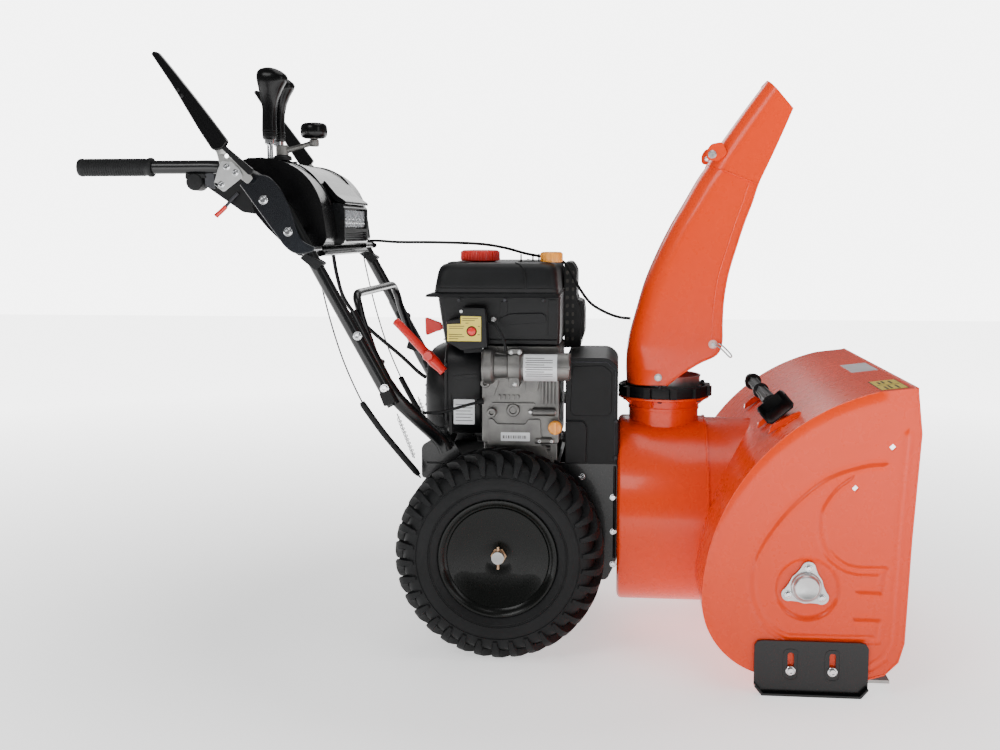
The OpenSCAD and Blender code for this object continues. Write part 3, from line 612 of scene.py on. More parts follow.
pins.tube([(HINGE_X, -84, HINGE_Z), (HINGE_X, 84, HINGE_Z)], 5, 16)
for side in (-1, 1):
    screw(pins, HINGE_X, side * 81.2, HINGE_Z, 6, side)
piece("deflector_hinge", pins, "zinc", "chute_deflector")
fit = Shape()
for side in (-1, 1):
    screw(fit, 318, side * 78.4, 533, 5.5, side)
piece("chute_bolts", fit, "zinc", "chute")
lever = Shape()
lever.lathe([(9, -78.3), (9, -81), (7, -82.5), (0.01, -82.5)], (424, 0, 600), n=24)
piece("deflector_stop_washer", lever, "pink", "chute", bevel=0.4)
pin = Shape()
pin.tube(smooth_path([(424, -83, 600), (428, -88, 600), (436, -88, 595), (446, -88, 586), (456, -88, 576),
                      (460, -88, 578), (455, -88, 585), (444, -88, 596), (434, -88, 603)], 5), 1.6, 8)
pin.tube([(424, -76, 600), (424, -88, 600)], 4, 12)
piece("chute_hairpin", pin, "zinc", "chute")

# ------------------------------ wheels
AX, AZ, TY = 15, 202, 193


def tyre(side):
    s = Shape()
    prof = [(98.5, -46), (103, -49), (108, -51.5), (113.8, -52.4), (118, -56.5), (126, -58.5),
            (128, -59.6), (131, -59.2),
            (140, -60), (152, -59.5), (165, -57), (174, -52.5), (180, -46), (184.5, -36), (187, -20),
            (187.5, 0)]
    prof = prof + [(r, -h) for r, h in reversed(prof[:-1])]
    s.lathe([(r, h) for r, h in prof], (AX, side * TY, AZ), n=136, close=True)
    lugs = 34

    def ring_point(a, r, y):
        return (AX + r * cos(a), side * TY + y, AZ + r * sin(a))

    for k in range(lugs):
        for half in (-1, 1):
            a0 = 2 * pi * (k + (0.25 if half > 0 else -0.25)) / lugs
            # a slanted bar from the middle of the tread to the shoulder, then a finger down the sidewall
            stations = [(3, 0.30, 0.034, 201.0), (14, 0.24, 0.036, 202.0), (26, 0.14, 0.038, 201.4),
                        (38, 0.05, 0.042, 199.5), (47, 0.0, 0.044, 195.0), (54, -0.01, 0.042, 188.0),
                        (58.2, -0.012, 0.036, 180.0), (60.4, -0.012, 0.030, 170.0),
                        (60.6, -0.012, 0.026, 163.0)]
            rings = []
            for y, slant, wide, r in stations:
                yy = half * y
                drop = 6 if r < 185 else 14
                inner_y = half * (y - (7 if y > 50 else 0))
                rings.append([ring_point(a0 + (slant - 0.12) * 0.55 - wide * 1.12, r - drop, inner_y),
                              ring_point(a0 + (slant - 0.12) * 0.55 - wide * 0.82, r, yy),
                              ring_point(a0 + (slant - 0.12) * 0.55 + wide * 0.82, r, yy),
                              ring_point(a0 + (slant - 0.12) * 0.55 + wide * 1.12, r - drop, inner_y)])
            s.rings(rings)
    return s


for side, word in ((-1, "right"), (1, "left")):
    swap = ["tyres"] if side < 0 else []
    ob = piece("tyre_" + word, tyre(side), "tyre", "wheels", swap=swap, angle=32)
    rings = Shape()
    for r, h in ((131, 60.2), (134, 60.4), (157, 60.0)):
        rings.lathe([(r - 0.9, h - 1), (r - 0.4, h + 0.2), (r + 0.4, h + 0.2), (r + 0.9, h - 1)],
                    (AX, side * TY, AZ), n=136, close=True)
        rings.lathe([(r - 0.9, -h + 1), (r - 0.4, -h - 0.2), (r + 0.4, -h - 0.2), (r + 0.9, -h + 1)],
                    (AX, side * TY, AZ), n=136, close=True)
    piece("tyre_bead_lines_" + word, rings, "tyre", "wheels")
    o = side
    rim = Shape()
    rim.lathe([(95, o * -52), (112, o * -55), (114, o * -54), (113, o * -52), (98.4, o * -47),
               (98.4, o * 47),
               (111, o * 51), (113.6, o * 52.6), (114.4, o * 55), (113, o * 57), (110, o * 57.2),
               (107, o * 55.5),
               (104, o * 52), (101, o * 49), (95, o * 46)], (AX, side * TY, AZ), n=128, close=True)
    rim.lathe([(12.6, o * 29), (16, o * 29.6), (22, o * 29.6), (26, o * 31), (40, o * 33), (58, o * 36),
               (76, o * 41), (90, o * 47),
               (97, o * 49), (97, o * 45), (90, o * 43), (58, o * 32), (40, o * 29), (26, o * 27),
               (12.6, o * 26)], (AX, side * TY, AZ), n=96, close=True)
    rim.lathe([(12.6, o * -68), (20, o * -68), (20, o * 26), (12.6, o * 26)], (AX, side * TY, AZ), n=48,
              close=True)
    piece("rim_" + word, rim, "rim", "wheels", swap=["wheel_rims"] if side < 0 else [], angle=30)
    hub = Shape()
    hub.lathe([(0.01, o * 49.5), (8.5, o * 49.5), (11.6, o * 48), (12, o * 45), (12, o * 24)],
              (AX, side * TY, AZ), n=48)
    hub.lathe([(12.8, o * 30), (15.5, o * 30), (15.5, o * 33.5), (12.8, o * 33.5)], (AX, side * TY, AZ),
              n=6, close=True)
    hub.tube([(AX, side * (TY + 40), AZ - 24), (AX, side * (TY + 40), AZ + 20)], 2.6, 10)
    piece("hub_end_" + word, hub, "copper", "wheels", bevel=0.3)

# ------------------------------ bearing caps, skids, bolts, tool, labels
BX, BZ = 575, 196
cap = Shape()
lobes = []
for k in range(3):
    a = radians((84, 205, 325)[k])
    b = radians((205, 325, 444)[k])
    for t in range(9):
        w = a - 0.3 + 0.6 * t / 8
        lobes.append((BX + 33 * cos(a) + 13 * cos(a + (t - 4) / 4 * 1.45),
                      BZ + 33 * sin(a) + 13 * sin(a + (t - 4) / 4 * 1.45)))
    m = (a + b) / 2
    for t in (-0.35, 0, 0.35):
        lobes.append((BX + 30.5 * cos(m + t), BZ + 30.5 * sin(m + t)))
plate = [tuple(q)[:2] for q in smooth_path([(x, z, 0) for x, z in lobes + [lobes[0]]], 3)][:-1]
cap.prism(plate, -352.2, -355.2)
cap.lathe([(27, -355), (27, -358), (25.5, -361), (23.6, -362), (21.5, -366.4), (19.6, -367.8), (18, -367),
           (0.01, -366.4)], (BX, 0, BZ), n=64)
piece("auger_bearing_housings", cap, "zinc", swap=["auger_bearing_caps"], bevel=0.7, mirror=True)

bolts = Shape()
for a in (84, 205, 325):
    screw(bolts, BX + 34 * cos(radians(a)), -355.2, BZ + 34 * sin(radians(a)), 5)
for x in (551, 624):
    screw(bolts, x, -361.8, 44, 6.4)
for x, z in ((170, 339), (232, 298), (233, 229), (233, 163)):
    screw(bolts, x, -118, z, 5)
for x, z in ((-412, 878), (-367, 820)):
    screw(bolts, x, -290, z, 6.2)
for x, z in ((-245, 627), (-195, 529)):
    screw(bolts, x, -267, z, 6.2)
piece("frame_and_housing_bolts", bolts, "chrome", swap=["fasteners"], mirror=True)

for side, word in ((-1, "right"), (1, "left")):
    s = Shape()
    line = [(487, 16), (500, 0.6), (673, 0.6), (686, 16), (686, 88), (681, 96), (672, 98), (501, 98),
            (492, 96), (487, 88)]
    s.prism(line, side * 355.8, side * 361.2)
    s.prism([(487, 16), (500, 0.2), (673, 0.2), (686, 16), (684.5, 19), (671, 4.4), (502, 4.4),
             (488.5, 19)], side * 358, side * 372.3)
    ob = piece("skid_plate_" + word, s, "black_paint", "skid_" + word, swap=["skid_shoe_" + word])
    for x in (551, 624):
        cut = Shape().prism(rounded([(x - 5.6, 39), (x + 5.6, 39), (x + 5.6, 77), (x - 5.6, 77)], 5.5, 6),
                            side * 350, side * 375)
        carve(ob, cut)
    rings = Shape()
    for x in (551, 624):
        loop = rounded([(x - 14, 26), (x + 14, 26), (x + 14, 84), (x - 14, 84)], 13.9, 8)
        inner = rounded([(x - 11.5, 28.5), (x + 11.5, 28.5), (x + 11.5, 81.5), (x - 11.5, 81.5)], 11.4, 8)
        rings.rings([[(p[0], side * 361, p[1]) for p in loop], [(p[0], side * 362.1, p[1]) for p in loop],
                     [(p[0], side * 362.1, p[1]) for p in inner],
                     [(p[0], side * 361, p[1]) for p in inner]], wrap=True)
    piece("skid_slot_rims_" + word, rings, "black_paint", "skid_" + word, bevel=0.5, seg=2)

# clean-out tool in its clips
TX, TZ = 530, 497
tool = Shape()
tool.lathe([(0.01, 214), (11, 214), (13, 212), (13, 205), (10, 203), (9, 196), (9, 176), (17, 174),
            (18, 170), (17, 166),
            (10, 164), (9.5, 60), (12, 58), (12, 28), (10, 26), (10, 22), (16, 21), (16, 16), (10, 14),
            (11, -60), (12.5, -100), (14, -150), (17, -166), (17, -170)], (TX, 0, TZ), n=40)
piece("clean_out_handle", tool, "matte", swap=["clean_out_tool"])
rib = Shape()
for k in range(6):
    a = 2 * pi * k / 6
    rib.tube([(TX + 10.5 * cos(a), 160, TZ + 10.5 * sin(a)),
              (TX + 10.5 * cos(a), 62, TZ + 10.5 * sin(a))], 1.5, 8)
    rib.tube([(TX + 11 * cos(a), 10, TZ + 11 * sin(a)), (TX + 13.5 * cos(a), -140, TZ + 13.5 * sin(a))],
             1.5, 8)
piece("clean_out_ribs", rib, "matte")
scoop = Shape()
t = radians(40)


def turn(x, z):
    return (TX + x * cos(t) - z * sin(t), TZ + x * sin(t) + z * cos(t))


def scoop_ring(y, w, h, th):
    outer = [(-w, h), (-w, -h * 0.6), (-w * 0.8, -h), (w * 0.8, -h), (w, -h * 0.6), (w, h)]
    inner = [(w - th, h), (w - th, -h * 0.55), (w * 0.78 - th, -h + th), (-w * 0.78 + th, -h + th),
             (-w + th, -h * 0.55), (-w + th, h)]
    return [(turn(x, z)[0], y, turn(x, z)[1]) for x, z in outer + inner]


scoop.rings([scoop_ring(y, w, h, 3) for y, w, h in ((-166, 18, 10), (-176, 24, 13), (-190, 28, 15),
                                                    (-222, 30, 16), (-252, 30, 15))])
scoop.rings([[turn(x, z)[0:1] + (-167,) + turn(x, z)[1:2] for x,
              z in ((-20, 11), (-20, -9), (20, -9), (20, 11))],
             [turn(x, z)[0:1] + (-173,) + turn(x, z)[1:2] for x,
              z in ((-22, 12), (-22, -10), (22, -10), (22, 12))]])
piece("clean_out_scoop", scoop, "matte", bevel=0.8, seg=2)
clips = Shape()
for y in (-163, 92):
    clips.prism(rounded([(505, 447), (541, 472), (550, 480), (545, 487), (535, 481), (518, 470),
                         (506, 458)], 3), y, y + 14)
clips.prism(rounded([(512, 452), (532, 465), (566, 486), (572, 494), (566, 496), (520, 470)], 3), -262,
            -254)
piece("tool_clips", clips, "orange", bevel=1.0)


def roof(x, lift):
    a = math.asin(min(1, max(-1, (x - 785) / (392 + lift))))
    return 165 + (392 + lift) * cos(a)


def roof_patch(name, x0, x1, y0, y1, mat, lift=0.5):
    s, n = Shape(), 8
    top, low = [], []
    for i in range(n + 1):
        x = x0 + (x1 - x0) * i / n
        if x > 690:
            z = 545.3 + (x - 690.2) * 0.1218
            top.append((x, z + lift)), low.append((x, z - 0.4))
        else:
            top.append((x, roof(x, lift))), low.append((x, roof(x, -0.4)))
    s.prism(top + low[::-1], y0, y1)
    piece(name, s, mat)


roof_patch("caution_patch", 697, 741, -338, -222, "yellow", 0.6)
roof_patch("caution_border", 695, 743, -340, -220, "ink", 0.35)
roof_patch("pale_patch", 694, 744, -70, 60, "label", 0.6)
roof_patch("caution_bar", 700, 738, -281.5, -279.5, "ink", 0.8)
for i, (a, b) in enumerate(((-334, -300), (-330, -290), (-268, -240), (-262, -232))):
    roof_patch("caution_mark_%d" % i, 706 + 8 * (i % 2), 710 + 8 * (i % 2), a, b, "ink", 0.8)
roof_patch("caution_mark_4", 726, 730, -332, -292, "ink", 0.8)
roof_patch("caution_mark_5", 726, 730, -270, -236, "ink", 0.8)

paint("orange", "auger_flights", "impeller")
paint("iron", "auger_gearbox")
paint("satin", "scraper_bar", "auger_shaft", "impeller_shaft", "engine_pulleys", "friction_disc",
      "hex_shaft", "shaft_bearings", "wheel_axle")
paint("rubber", "belts_and_chain", "friction_wheel")
paint("black_paint", "frame_bottom_cover")

# ------------------------------ frame and belt cover
frame_shape = Shape()
side_line = rounded([(-150, 318), (-112, 366), (240, 366), (240, 171), (221, 130), (-110, 130),
                     (-150, 170)], 8, 4)
for s in (-1, 1):
    frame_shape.prism(side_line, s * 118, s * 115)
frame_shape.box((-112, -115, 363), (124, 115, 366))
frame_shape.prism([(-112, 366), (-110, 363), (-147, 316), (-150, 318)], -115, 115)
frame_shape.box((-150, -115, 170), (-147, 115, 318))
frame_shape.box((124, -115, 130), (127, 115, 366))
frame_shape.prism([(-150, 171), (-147, 172), (-108, 133), (-110, 130)], -115, 115)
piece("frame_plates", frame_shape, "black_paint", swap=["frame_box"], bevel=1.2, seg=2)
lip = Shape()
lip.prism(rounded([(-150, 330), (-150, 396), (-128, 410), (-84, 404), (-66, 372), (-66, 330)], 8), -118,
          -121)
lip.tube([(-140, -119, 362), (116, -119, 362)], 3, 8)
lip.tube([(235, -119, 360), (235, -119, 176)], 3, 8)
lip.tube([(128, -118.5, 360), (128, -118.5, 136)], 2, 8)
piece("frame_ears", lip, "black_paint", mirror=True, bevel=0.6, seg=2)

belt_case = Shape()
belt_case.prism(rounded([(137, 366.8), (239.3, 366.8), (239.3, 560), (221, 576), (137, 576)],
                        [1, 1, 10, 10, 4], 4), -131.5, 131.5)
piece("belt_cover_shell", belt_case, "matte", swap=["belt_cover"], bevel=5, seg=4)
step = Shape()
step.prism(rounded([(137, 368), (178, 368), (180, 440), (173, 452), (137, 452)], 5), -137.5, -128)
step.prism(rounded([(146, 470), (150, 560), (212, 562), (228, 548), (228, 470), (220, 462), (154, 462)],
                   6), -132.6, -126)
step.prism([(236, 380), (241.5, 380), (241.5, 452), (236, 456)], -128, -108)
piece("belt_cover_panels", step, "matte", bevel=2.0)
seam = Shape()
seam.tube([(141, -131.6, 568), (218, -131.6, 568), (234, -131.6, 554), (234, -131.6, 372)], 1.2, 8)
for x, z in ((236, 452), (236, 380), (142, 372)):
    seam.lathe([(4, -131), (4, -135), (3, -136), (0.01, -136)], (x, 0, z), n=12)
piece("belt_cover_seam", seam, "iron")

# ------------------------------ engine
tank = Shape()
rings = []
for z, x0, x1, half_wide, r in ((703, -114, 124, 172, 16), (706, -116, 124, 174, 18),
                                (720, -114, 123, 173, 20),
                         (742, -110, 121, 170, 22), (751, -107, 119, 167, 24), (757, -101, 114, 161, 24),
                         (760, -92, 105, 152, 22), (760.2, -80, 95, 140, 20)):
    rings.append([(p[0], p[1], z) for p in oval(x0, x1, -half_wide, half_wide, r, 6)])
tank.rings(rings)
piece("fuel_tank_shell", tank, "matte", swap=["fuel_tank"], angle=50)
skirt = Shape()
skirt.rings([[(p[0], p[1], z) for p in oval(x0, x1, -half_wide, half_wide, 12, 5)] for z, x0, x1,
             half_wide in
             ((694.8, -131, 126, 176), (696, -133, 127, 178), (700, -131, 127, 177),
              (703, -118, 126, 174.5))])
piece("fuel_tank_skirt", skirt, "matte", angle=40)
groove = Shape()
for y in (-1,):
    groove.tube(smooth_path([(64, y * 171.5, 700), (63, y * 173.5, 712), (61, y * 172.2, 735),
                             (58, y * 168.5, 748), (50, y * 161, 757), (40, y * 150, 760)], 4), 1.6, 8)
    groove.tube([(64, y * 173.6, 712), (122, y * 173.6, 712)], 1.1, 8)
    groove.tube([(-108, y * 174, 712), (60, y * 174, 712)], 1.0, 8)
piece("fuel_tank_ridges", groove, "matte", mirror=True)
clips = Shape()
for x in (-66, 22, 96):
    clips.lathe([(3.4, -170), (3.4, -179), (2.6, -180), (0.01, -180)], (x, 0, 690), n=12)
piece("tank_screws", clips, "iron", mirror=True)
plates = Shape()
plates.prism(oval(-92, -50, -150, -70, 8), 760, 761.4, "z")
plates.prism(oval(40, 92, -95, -30, 6), 760, 762, "z")
for x, y in ((46, -88), (66, -40), (78, -40)):
    plates.tube([(x, y, 760), (x, y, 776)], 1.8, 8)
piece("tank_top_details", plates, "matte", bevel=0.4, seg=2)

shroud = Shape()
shroud.rings([[(p[0], p[1], z) for p in oval(x0, x1, -half_wide, half_wide, r, 5)] for z, x0, x1,
              half_wide, r in
              ((600, -92, 122, 146, 10), (604, -98, 126, 150, 12), (640, -104, 127, 150.5, 12),
               (680, -110, 127, 151, 12), (695, -112, 127, 151, 12))])
piece("upper_shroud", shroud, "duct", swap=["engine_shroud"], angle=40)
tank_detail = Shape()
tank_detail.prism(rounded([(8, 652), (30, 662), (92, 664), (100, 658), (98, 646), (30, 642), (14, 638)],
                          7), -149, -156)
tank_detail.prism(rounded([(10, 646), (24, 646), (26, 686), (12, 686)], 3), -149, -153)
tank_detail.tube([(-100, -151, 612), (122, -151, 612)], 1.4, 8)
tank_detail.prism(oval(104, 122, 618, 690, 4), -149, -153.5)
piece("shroud_details", tank_detail, "duct", bevel=1.6)
chrome = Shape()
chrome.lathe([(5.5, -150), (5.5, -155), (4.2, -156.5), (0.01, -156.5)], (-2, 0, 652), n=24)
chrome.lathe([(3, -190), (3, -193), (0.01, -193)], (-60, 0, 669), n=16)
chrome.lathe([(3, -176), (3, -179), (0.01, -179)], (-22, 0, 598), n=16)
piece("shroud_screws", chrome, "zinc")
front = Shape()
front.prism(rounded([(126, 757), (141, 759), (152, 742), (152, 688), (162, 655), (162, 583), (127, 581)],
                    [4, 8, 8, 4, 8, 5, 1], 4), 22, 150)
piece("front_duct", front, "duct", bevel=3)
bump = Shape()
bump.prism(rounded([(150, 682), (166, 676), (168, 662), (168, 606), (164, 598), (156, 594), (150, 600)],
                   4), 30, 140)
piece("front_duct_box", bump, "duct", bevel=2.5)
vents = Shape()
for k in range(9):
    z = 596 + 17 * k
    vents.prism(oval(130, 136, z, z + 8, 2.5, 3), 21.4, 24)
    vents.prism(oval(142, 147, z, z + 8, 2.2, 3), 21.4, 24)
for k in range(11):
    y = 34 + 10 * k
    vents.prism(oval(y, y + 5, 612, 660, 2, 3), 167.5, 168.6, "x")
piece("duct_vents", vents, "ink")

# fan housing and recoil starter
fan = Shape()
rings = []
for x, g in ((-104, -7), (-101, -2), (-96, 0), (-34, 0), (-30, -1.5), (-28, -4)):
    rings.append([(x, p[0], p[1]) for p in oval(-120 - g, 120 + g, 414 - g, 604 + min(g, 0), 60 + g, 10)])
fan.rings(rings)
piece("fan_housing", fan, "duct", swap=["recoil_housing"], angle=40)
recoil = Shape()
recoil.lathe([(104, -100), (104, -112), (101, -124), (96, -134), (90, -142), (82, -147), (70, -149),
              (68, -146), (0.01, -146)], (0, 0, 490), "x", n=96)
piece("recoil_cover", recoil, "duct")
vanes = Shape()
for k in range(20):
    a = 2 * pi * k / 20
    c, s_ = cos(a), sin(a)
    vanes.tube([(-148, 24 * c, 490 + 24 * s_), (-149.5, 66 * c, 490 + 66 * s_)], 2.2, 6)
vanes.lathe([(24, -145), (24, -151), (21, -153), (0.01, -153)], (0, 0, 490), "x", n=40)
for k in range(7):
    a = radians(200 + 20 * k)
    vanes.tube([(-108, 106 * cos(a), 490 + 106 * sin(a)), (-130, 99 * cos(a), 490 + 99 * sin(a))], 3, 8)
piece("recoil_vanes", vanes, "duct")
trim = Shape()
trim.prism(rounded([(-102, 420), (-98, 418), (-98, 560), (-102, 566)], 1), -120.6, -116)
trim.prism(rounded([(-86, 536), (-40, 541), (-38, 536), (-80, 528)], 2), -122, -116)
trim.prism(rounded([(-94, 500), (-90, 500), (-88, 420), (-94, 420)], 1), -121.6, -116)
trim.lathe([(4, -119), (4, -123), (0.01, -123)], (-99, 0, 436), n=12)
piece("fan_housing_ribs", trim, "duct", bevel=1)
plate_label = Shape()
plate_label.prism(oval(-85, -43, 440, 490, 2, 3), -119.4, -121.0)
piece("engine_pale_label", plate_label, "label", bevel=0.3, seg=1)
marks = Shape()
for k in range(6):
    marks.box((-81, -121.4, 447 + 6.4 * k), (-81 + (30 if k % 2 else 34), -120.9, 448.2 + 6.4 * k))
piece("engine_label_marks", marks, "ink")

# crankcase
case = Shape()
case.prism(rounded([(-26, 407), (-26, 600), (126, 600), (126, 407)], [8, 14, 10, 8], 4), -144, 60)
case.prism(rounded([(-24, 370), (-24, 410), (122, 410), (122, 370)], 4), -124, 58)
piece("crankcase", case, "alloy", swap=["engine_block"], bevel=4)
castings = Shape()
castings.prism(rounded([(-26, 520), (-26, 600), (2, 600), (8, 590), (8, 530), (-2, 500), (-14, 500)], 6),
               -150, -140)
castings.prism(rounded([(-14, 404), (92, 404), (89, 456), (66, 456), (60, 446), (4, 446), (-4, 456),
                        (-13, 456)], 4), -149, -141)
castings.prism(rounded([(-24, 380), (104, 376), (98, 402), (-17, 404)], 4), -131, -122)
castings.prism(rounded([(-6, 488), (78, 488), (80, 484), (-6, 484)], 2), -149, -141)
for k in range(5):
    castings.prism(rounded([(92 + 7 * k, 486), (95.5 + 7 * k, 486), (95.5 + 7 * k, 534),
                            (92 + 7 * k, 534)], 1.2), -151, -141)
for k in range(5):
    castings.prism(rounded([(6 + 9 * k, 496), (11 + 9 * k, 494), (12 + 9 * k, 503), (7 + 9 * k, 504)],
                           1.5), -148, -141)
castings.lathe([(13, -142), (13, -150), (11.5, -152), (7.5, -152), (6.5, -149), (0.01, -149)],
               (36, 0, 474), n=40)
castings.lathe([(9.5, -142), (9.5, -156), (8, -158), (4.5, -158), (4, -152), (0.01, -152)], (-18, 0, 527),
               n=32)
castings.lathe([(9.5, -142), (9.5, -154), (8, -156), (4.5, -156), (4, -150), (0.01, -150)], (-6, 0, 469),
               n=32)
castings.lathe([(12, -140), (13, -150), (15, -154), (15, -156), (0.01, -156)], (119, 0, 443), n=32)
castings.tube([(74, -150, 471), (118, -150, 471)], 8, 20)
castings.tube([(80, -148, 414), (112, -148, 414)], 6.5, 16)
castings.tube([(84, -126, 396), (108, -126, 396)], 5, 16)
castings.prism(rounded([(60, 508), (84, 512), (88, 538), (62, 536)], 3), -152, -141)
castings.prism(rounded([(-20, 366.4), (116, 366.4), (112, 380), (-16, 382)], 3), -130, -60)
piece("crankcase_castings", castings, "alloy", bevel=1.2, seg=2)
studs = Shape()
for x, z in ((-20, 560), (-18, 590), (70, 471), (116, 471), (88, 414), (112, 414)):
    screw(studs, x, -151, z, 3.4, washer=1.2)
piece("crankcase_bolts", studs, "zinc")
tag = Shape()
tag.prism(oval(12, 69, 413, 430, 1.5, 3), -148.6, -149.8)
piece("serial_plate_blank", tag, "label")
bars = Shape()
for k in range(14):
    bars.box((16 + 3.4 * k, -150.2, 418), (16 + 3.4 * k + (1.2 if k % 3 else 2), -149.7, 424))
piece("serial_plate_bars", bars, "ink")
cylinder = Shape()
for k in range(8):
    c0, s0 = cos(radians(25)), sin(radians(25))

    def tilt(x, y, z):
        return (50 + x, 60 + y * c0 - z * s0, 500 + y * s0 + z * c0)
    prof = oval(-68, 68, -63, 58, 14, 4)
    cylinder.rings([[tilt(p[0], k * 13, p[1]) for p in prof],
                    [tilt(p[0], k * 13 + 4, p[1]) for p in prof]])
prof = oval(-52, 52, -46, 42, 16, 4)
cylinder.rings([[tilt(p[0], -18, p[1]) for p in prof], [tilt(p[0], 95, p[1]) for p in prof]])
piece("cylinder_fins", cylinder, "alloy", bevel=0.6, seg=1)

# electric starter
SY, SZ = -192, 563
starter = Shape()
starter.lathe([(0.01, -20), (30, -20), (34, -16), (34, -2), (31, 2), (24, 4), (22, 28), (26, 30),
               (30, 31), (30.5, 52), (28, 55),
          (27, 56), (27, 143), (25, 147), (20, 148.6), (0.01, 148.6)], (0, SY + 14, SZ), "x", n=64)
piece("starter_body", starter, "alloy", swap=["starter_motor"], angle=30)
ears = Shape()
ears.prism(rounded([(30, 588), (30, 596), (36, 598), (56, 598), (58, 590)], 3), SY - 4, SY + 20)
ears.prism(rounded([(32, 524), (52, 524), (52, 544), (32, 544)], 4), SY - 10, SY + 40)
ears.prism(rounded([(-4, 538), (20, 534), (30, 545), (30, 585), (8, 590), (-4, 588)], 6), -178, -140)
for a in (60, 180, 300):
    ears.tube([(56, SY + 14 + 24 * cos(radians(a)), SZ + 24 * sin(radians(a))),
               (149, SY + 14 + 24 * cos(radians(a)), SZ + 24 * sin(radians(a)))], 4, 12)
piece("starter_ears", ears, "alloy", bevel=1.2, seg=2)
wrap = Shape()
pts0, pts1 = [], []
for k in range(25):
    a = radians(118 + 5.4 * k)
    pts0.append((SY + 14 + 28.6 * cos(a), SZ + 28.6 * sin(a)))
    pts1.append((SY + 14 + 27.6 * cos(a), SZ + 27.6 * sin(a)))
wrap.prism(pts0 + pts1[::-1], 60, 124, "x")
piece("starter_foil", wrap, "label", angle=40)
ink = Shape()
for k in range(9):
    a0 = radians(140 + 9 * k)
    q = [(SY + 14 + r * cos(a0 + d), SZ + r * sin(a0 + d)) for r,
         d in ((28.4, -0.02), (28.9, -0.02), (28.9, 0.02), (28.4, 0.02))]
    ink.prism(q, 66 if k % 2 else 64, 116 if k % 3 else 100, "x")
piece("starter_foil_marks", ink, "ink")
starter_band = Shape()
for x, z in ((44, 531), (36, 592), (52, 592)):
    screw(starter_band, x, SY - 9 if z < 560 else SY - 4, z, 3.4, washer=1.3)
piece("starter_bolts", starter_band, "zinc")

# switch box
switch = Shape()
switch.prism(rounded([(-89, 651), (-64, 655), (-60, 676), (-14, 675), (-10, 600), (-60, 594), (-86, 610)],
                     3), -150, -190)
piece("switch_box_shell", switch, "duct", swap=["switch_box"], bevel=2.2)
low = Shape()
low.prism(rounded([(-58, 600), (-20, 602), (-20, 590), (-56, 588)], 2), -150, -180)
low.lathe([(9.5, -189), (9.5, -191.4), (8.6, -192), (8.4, -190)], (-40, 0, 631), n=32, close=True)
piece("switch_box_details", low, "matte", bevel=0.8)
switch_foil = Shape()
switch_foil.prism([(-87, 612), (-87, 644), (-61, 645), (-61, 660), (-22, 659), (-22, 612)], -190, -190.9)
switch_foil_ob = piece("switch_label", switch_foil, "yellow")
carve(switch_foil_ob, Shape().lathe([(10, -195), (10, -185)], (-40, 0, 631), n=32))
foil_marks = Shape()
for x0, x1, z in ((-84, -54, 640), (-84, -56, 636), (-58, -28, 655), (-58, -34, 651), (-84, -58, 624),
                  (-84, -54, 620), (-84, -66, 616), (-28, -24, 640), (-29, -24, 624), (-52, -46, 646)):
    foil_marks.box((x0, -191.2, z), (x1, -190.8, z + 1.2))
piece("switch_label_marks", foil_marks, "ink")
button_shape = Shape()
button_shape.lathe([(0.01, -172.6), (8, -172.6), (8, -192), (7.2, -194), (5, -195.2), (0.01, -195.6)],
                   (-40, 0, 631), n=40)
piece("start_button_cap", button_shape, "red", "button", swap=["start_button"])

# red and amber fittings
choke_shape = Shape()
choke_shape.prism(rounded([(-150, 647), (-147, 648), (-126, 640), (-117, 637), (-117, 622), (-126, 620),
                           (-145, 612), (-149, 614)], 3), -66, -54)
choke_shape.tube([(-126, -60, 629), (-113, -60, 629)], 5, 16)
piece("choke_paddle", choke_shape, "red", "choke", swap=["choke_knob"], bevel=2)
path = smooth_path([(-201, -125, 646), (-192, -125, 638), (-172, -125, 617), (-152, -125, 596),
                    (-134, -125, 577), (-118, -125, 560), (-108, -125, 550), (-103, -125, 545)], 6)
n = len(path)
radii = []
for i in range(n):
    t = i / (n - 1)
    radii.append(4 if i in (0, n - 1) else 8.2 + 2.6 * math.exp(-((t - 0.64) / 0.1) ** 2) + 1.6 * t)
puller = Shape().tube(path, radii, 20, flat=0.8)
puller.lathe([(9, -138), (10.5, -136), (11, -118), (9, -112), (4, -110)], (-134, 0, 577), n=24)
piece("pull_handle", puller, "red", "starter_grip", swap=["recoil_handle"], angle=50)


def cap(name, cx, cy, z0, r, h, teeth, mat, body, swap):
    s = Shape()
    s.lathe([(r * 0.8, z0), (r * 0.97, z0 + 0.6), (r, z0 + 2), (r * 0.985, z0 + h - 3),
             (r * 0.95, z0 + h - 1), (r * 0.88, z0 + h),
             (r * 0.5, z0 + h + 0.4), (0.01, z0 + h + 0.5)], (cx, cy, 0), "z", n=96)
    for k in range(teeth):
        a = 2 * pi * k / teeth
        s.tube([(cx + r * cos(a), cy + r * sin(a), z0 + 2),
                (cx + r * 0.985 * cos(a), cy + r * 0.985 * sin(a), z0 + h - 2.5)], r * 0.06, 8)
    piece(name, s, mat, body, swap=swap, angle=40)


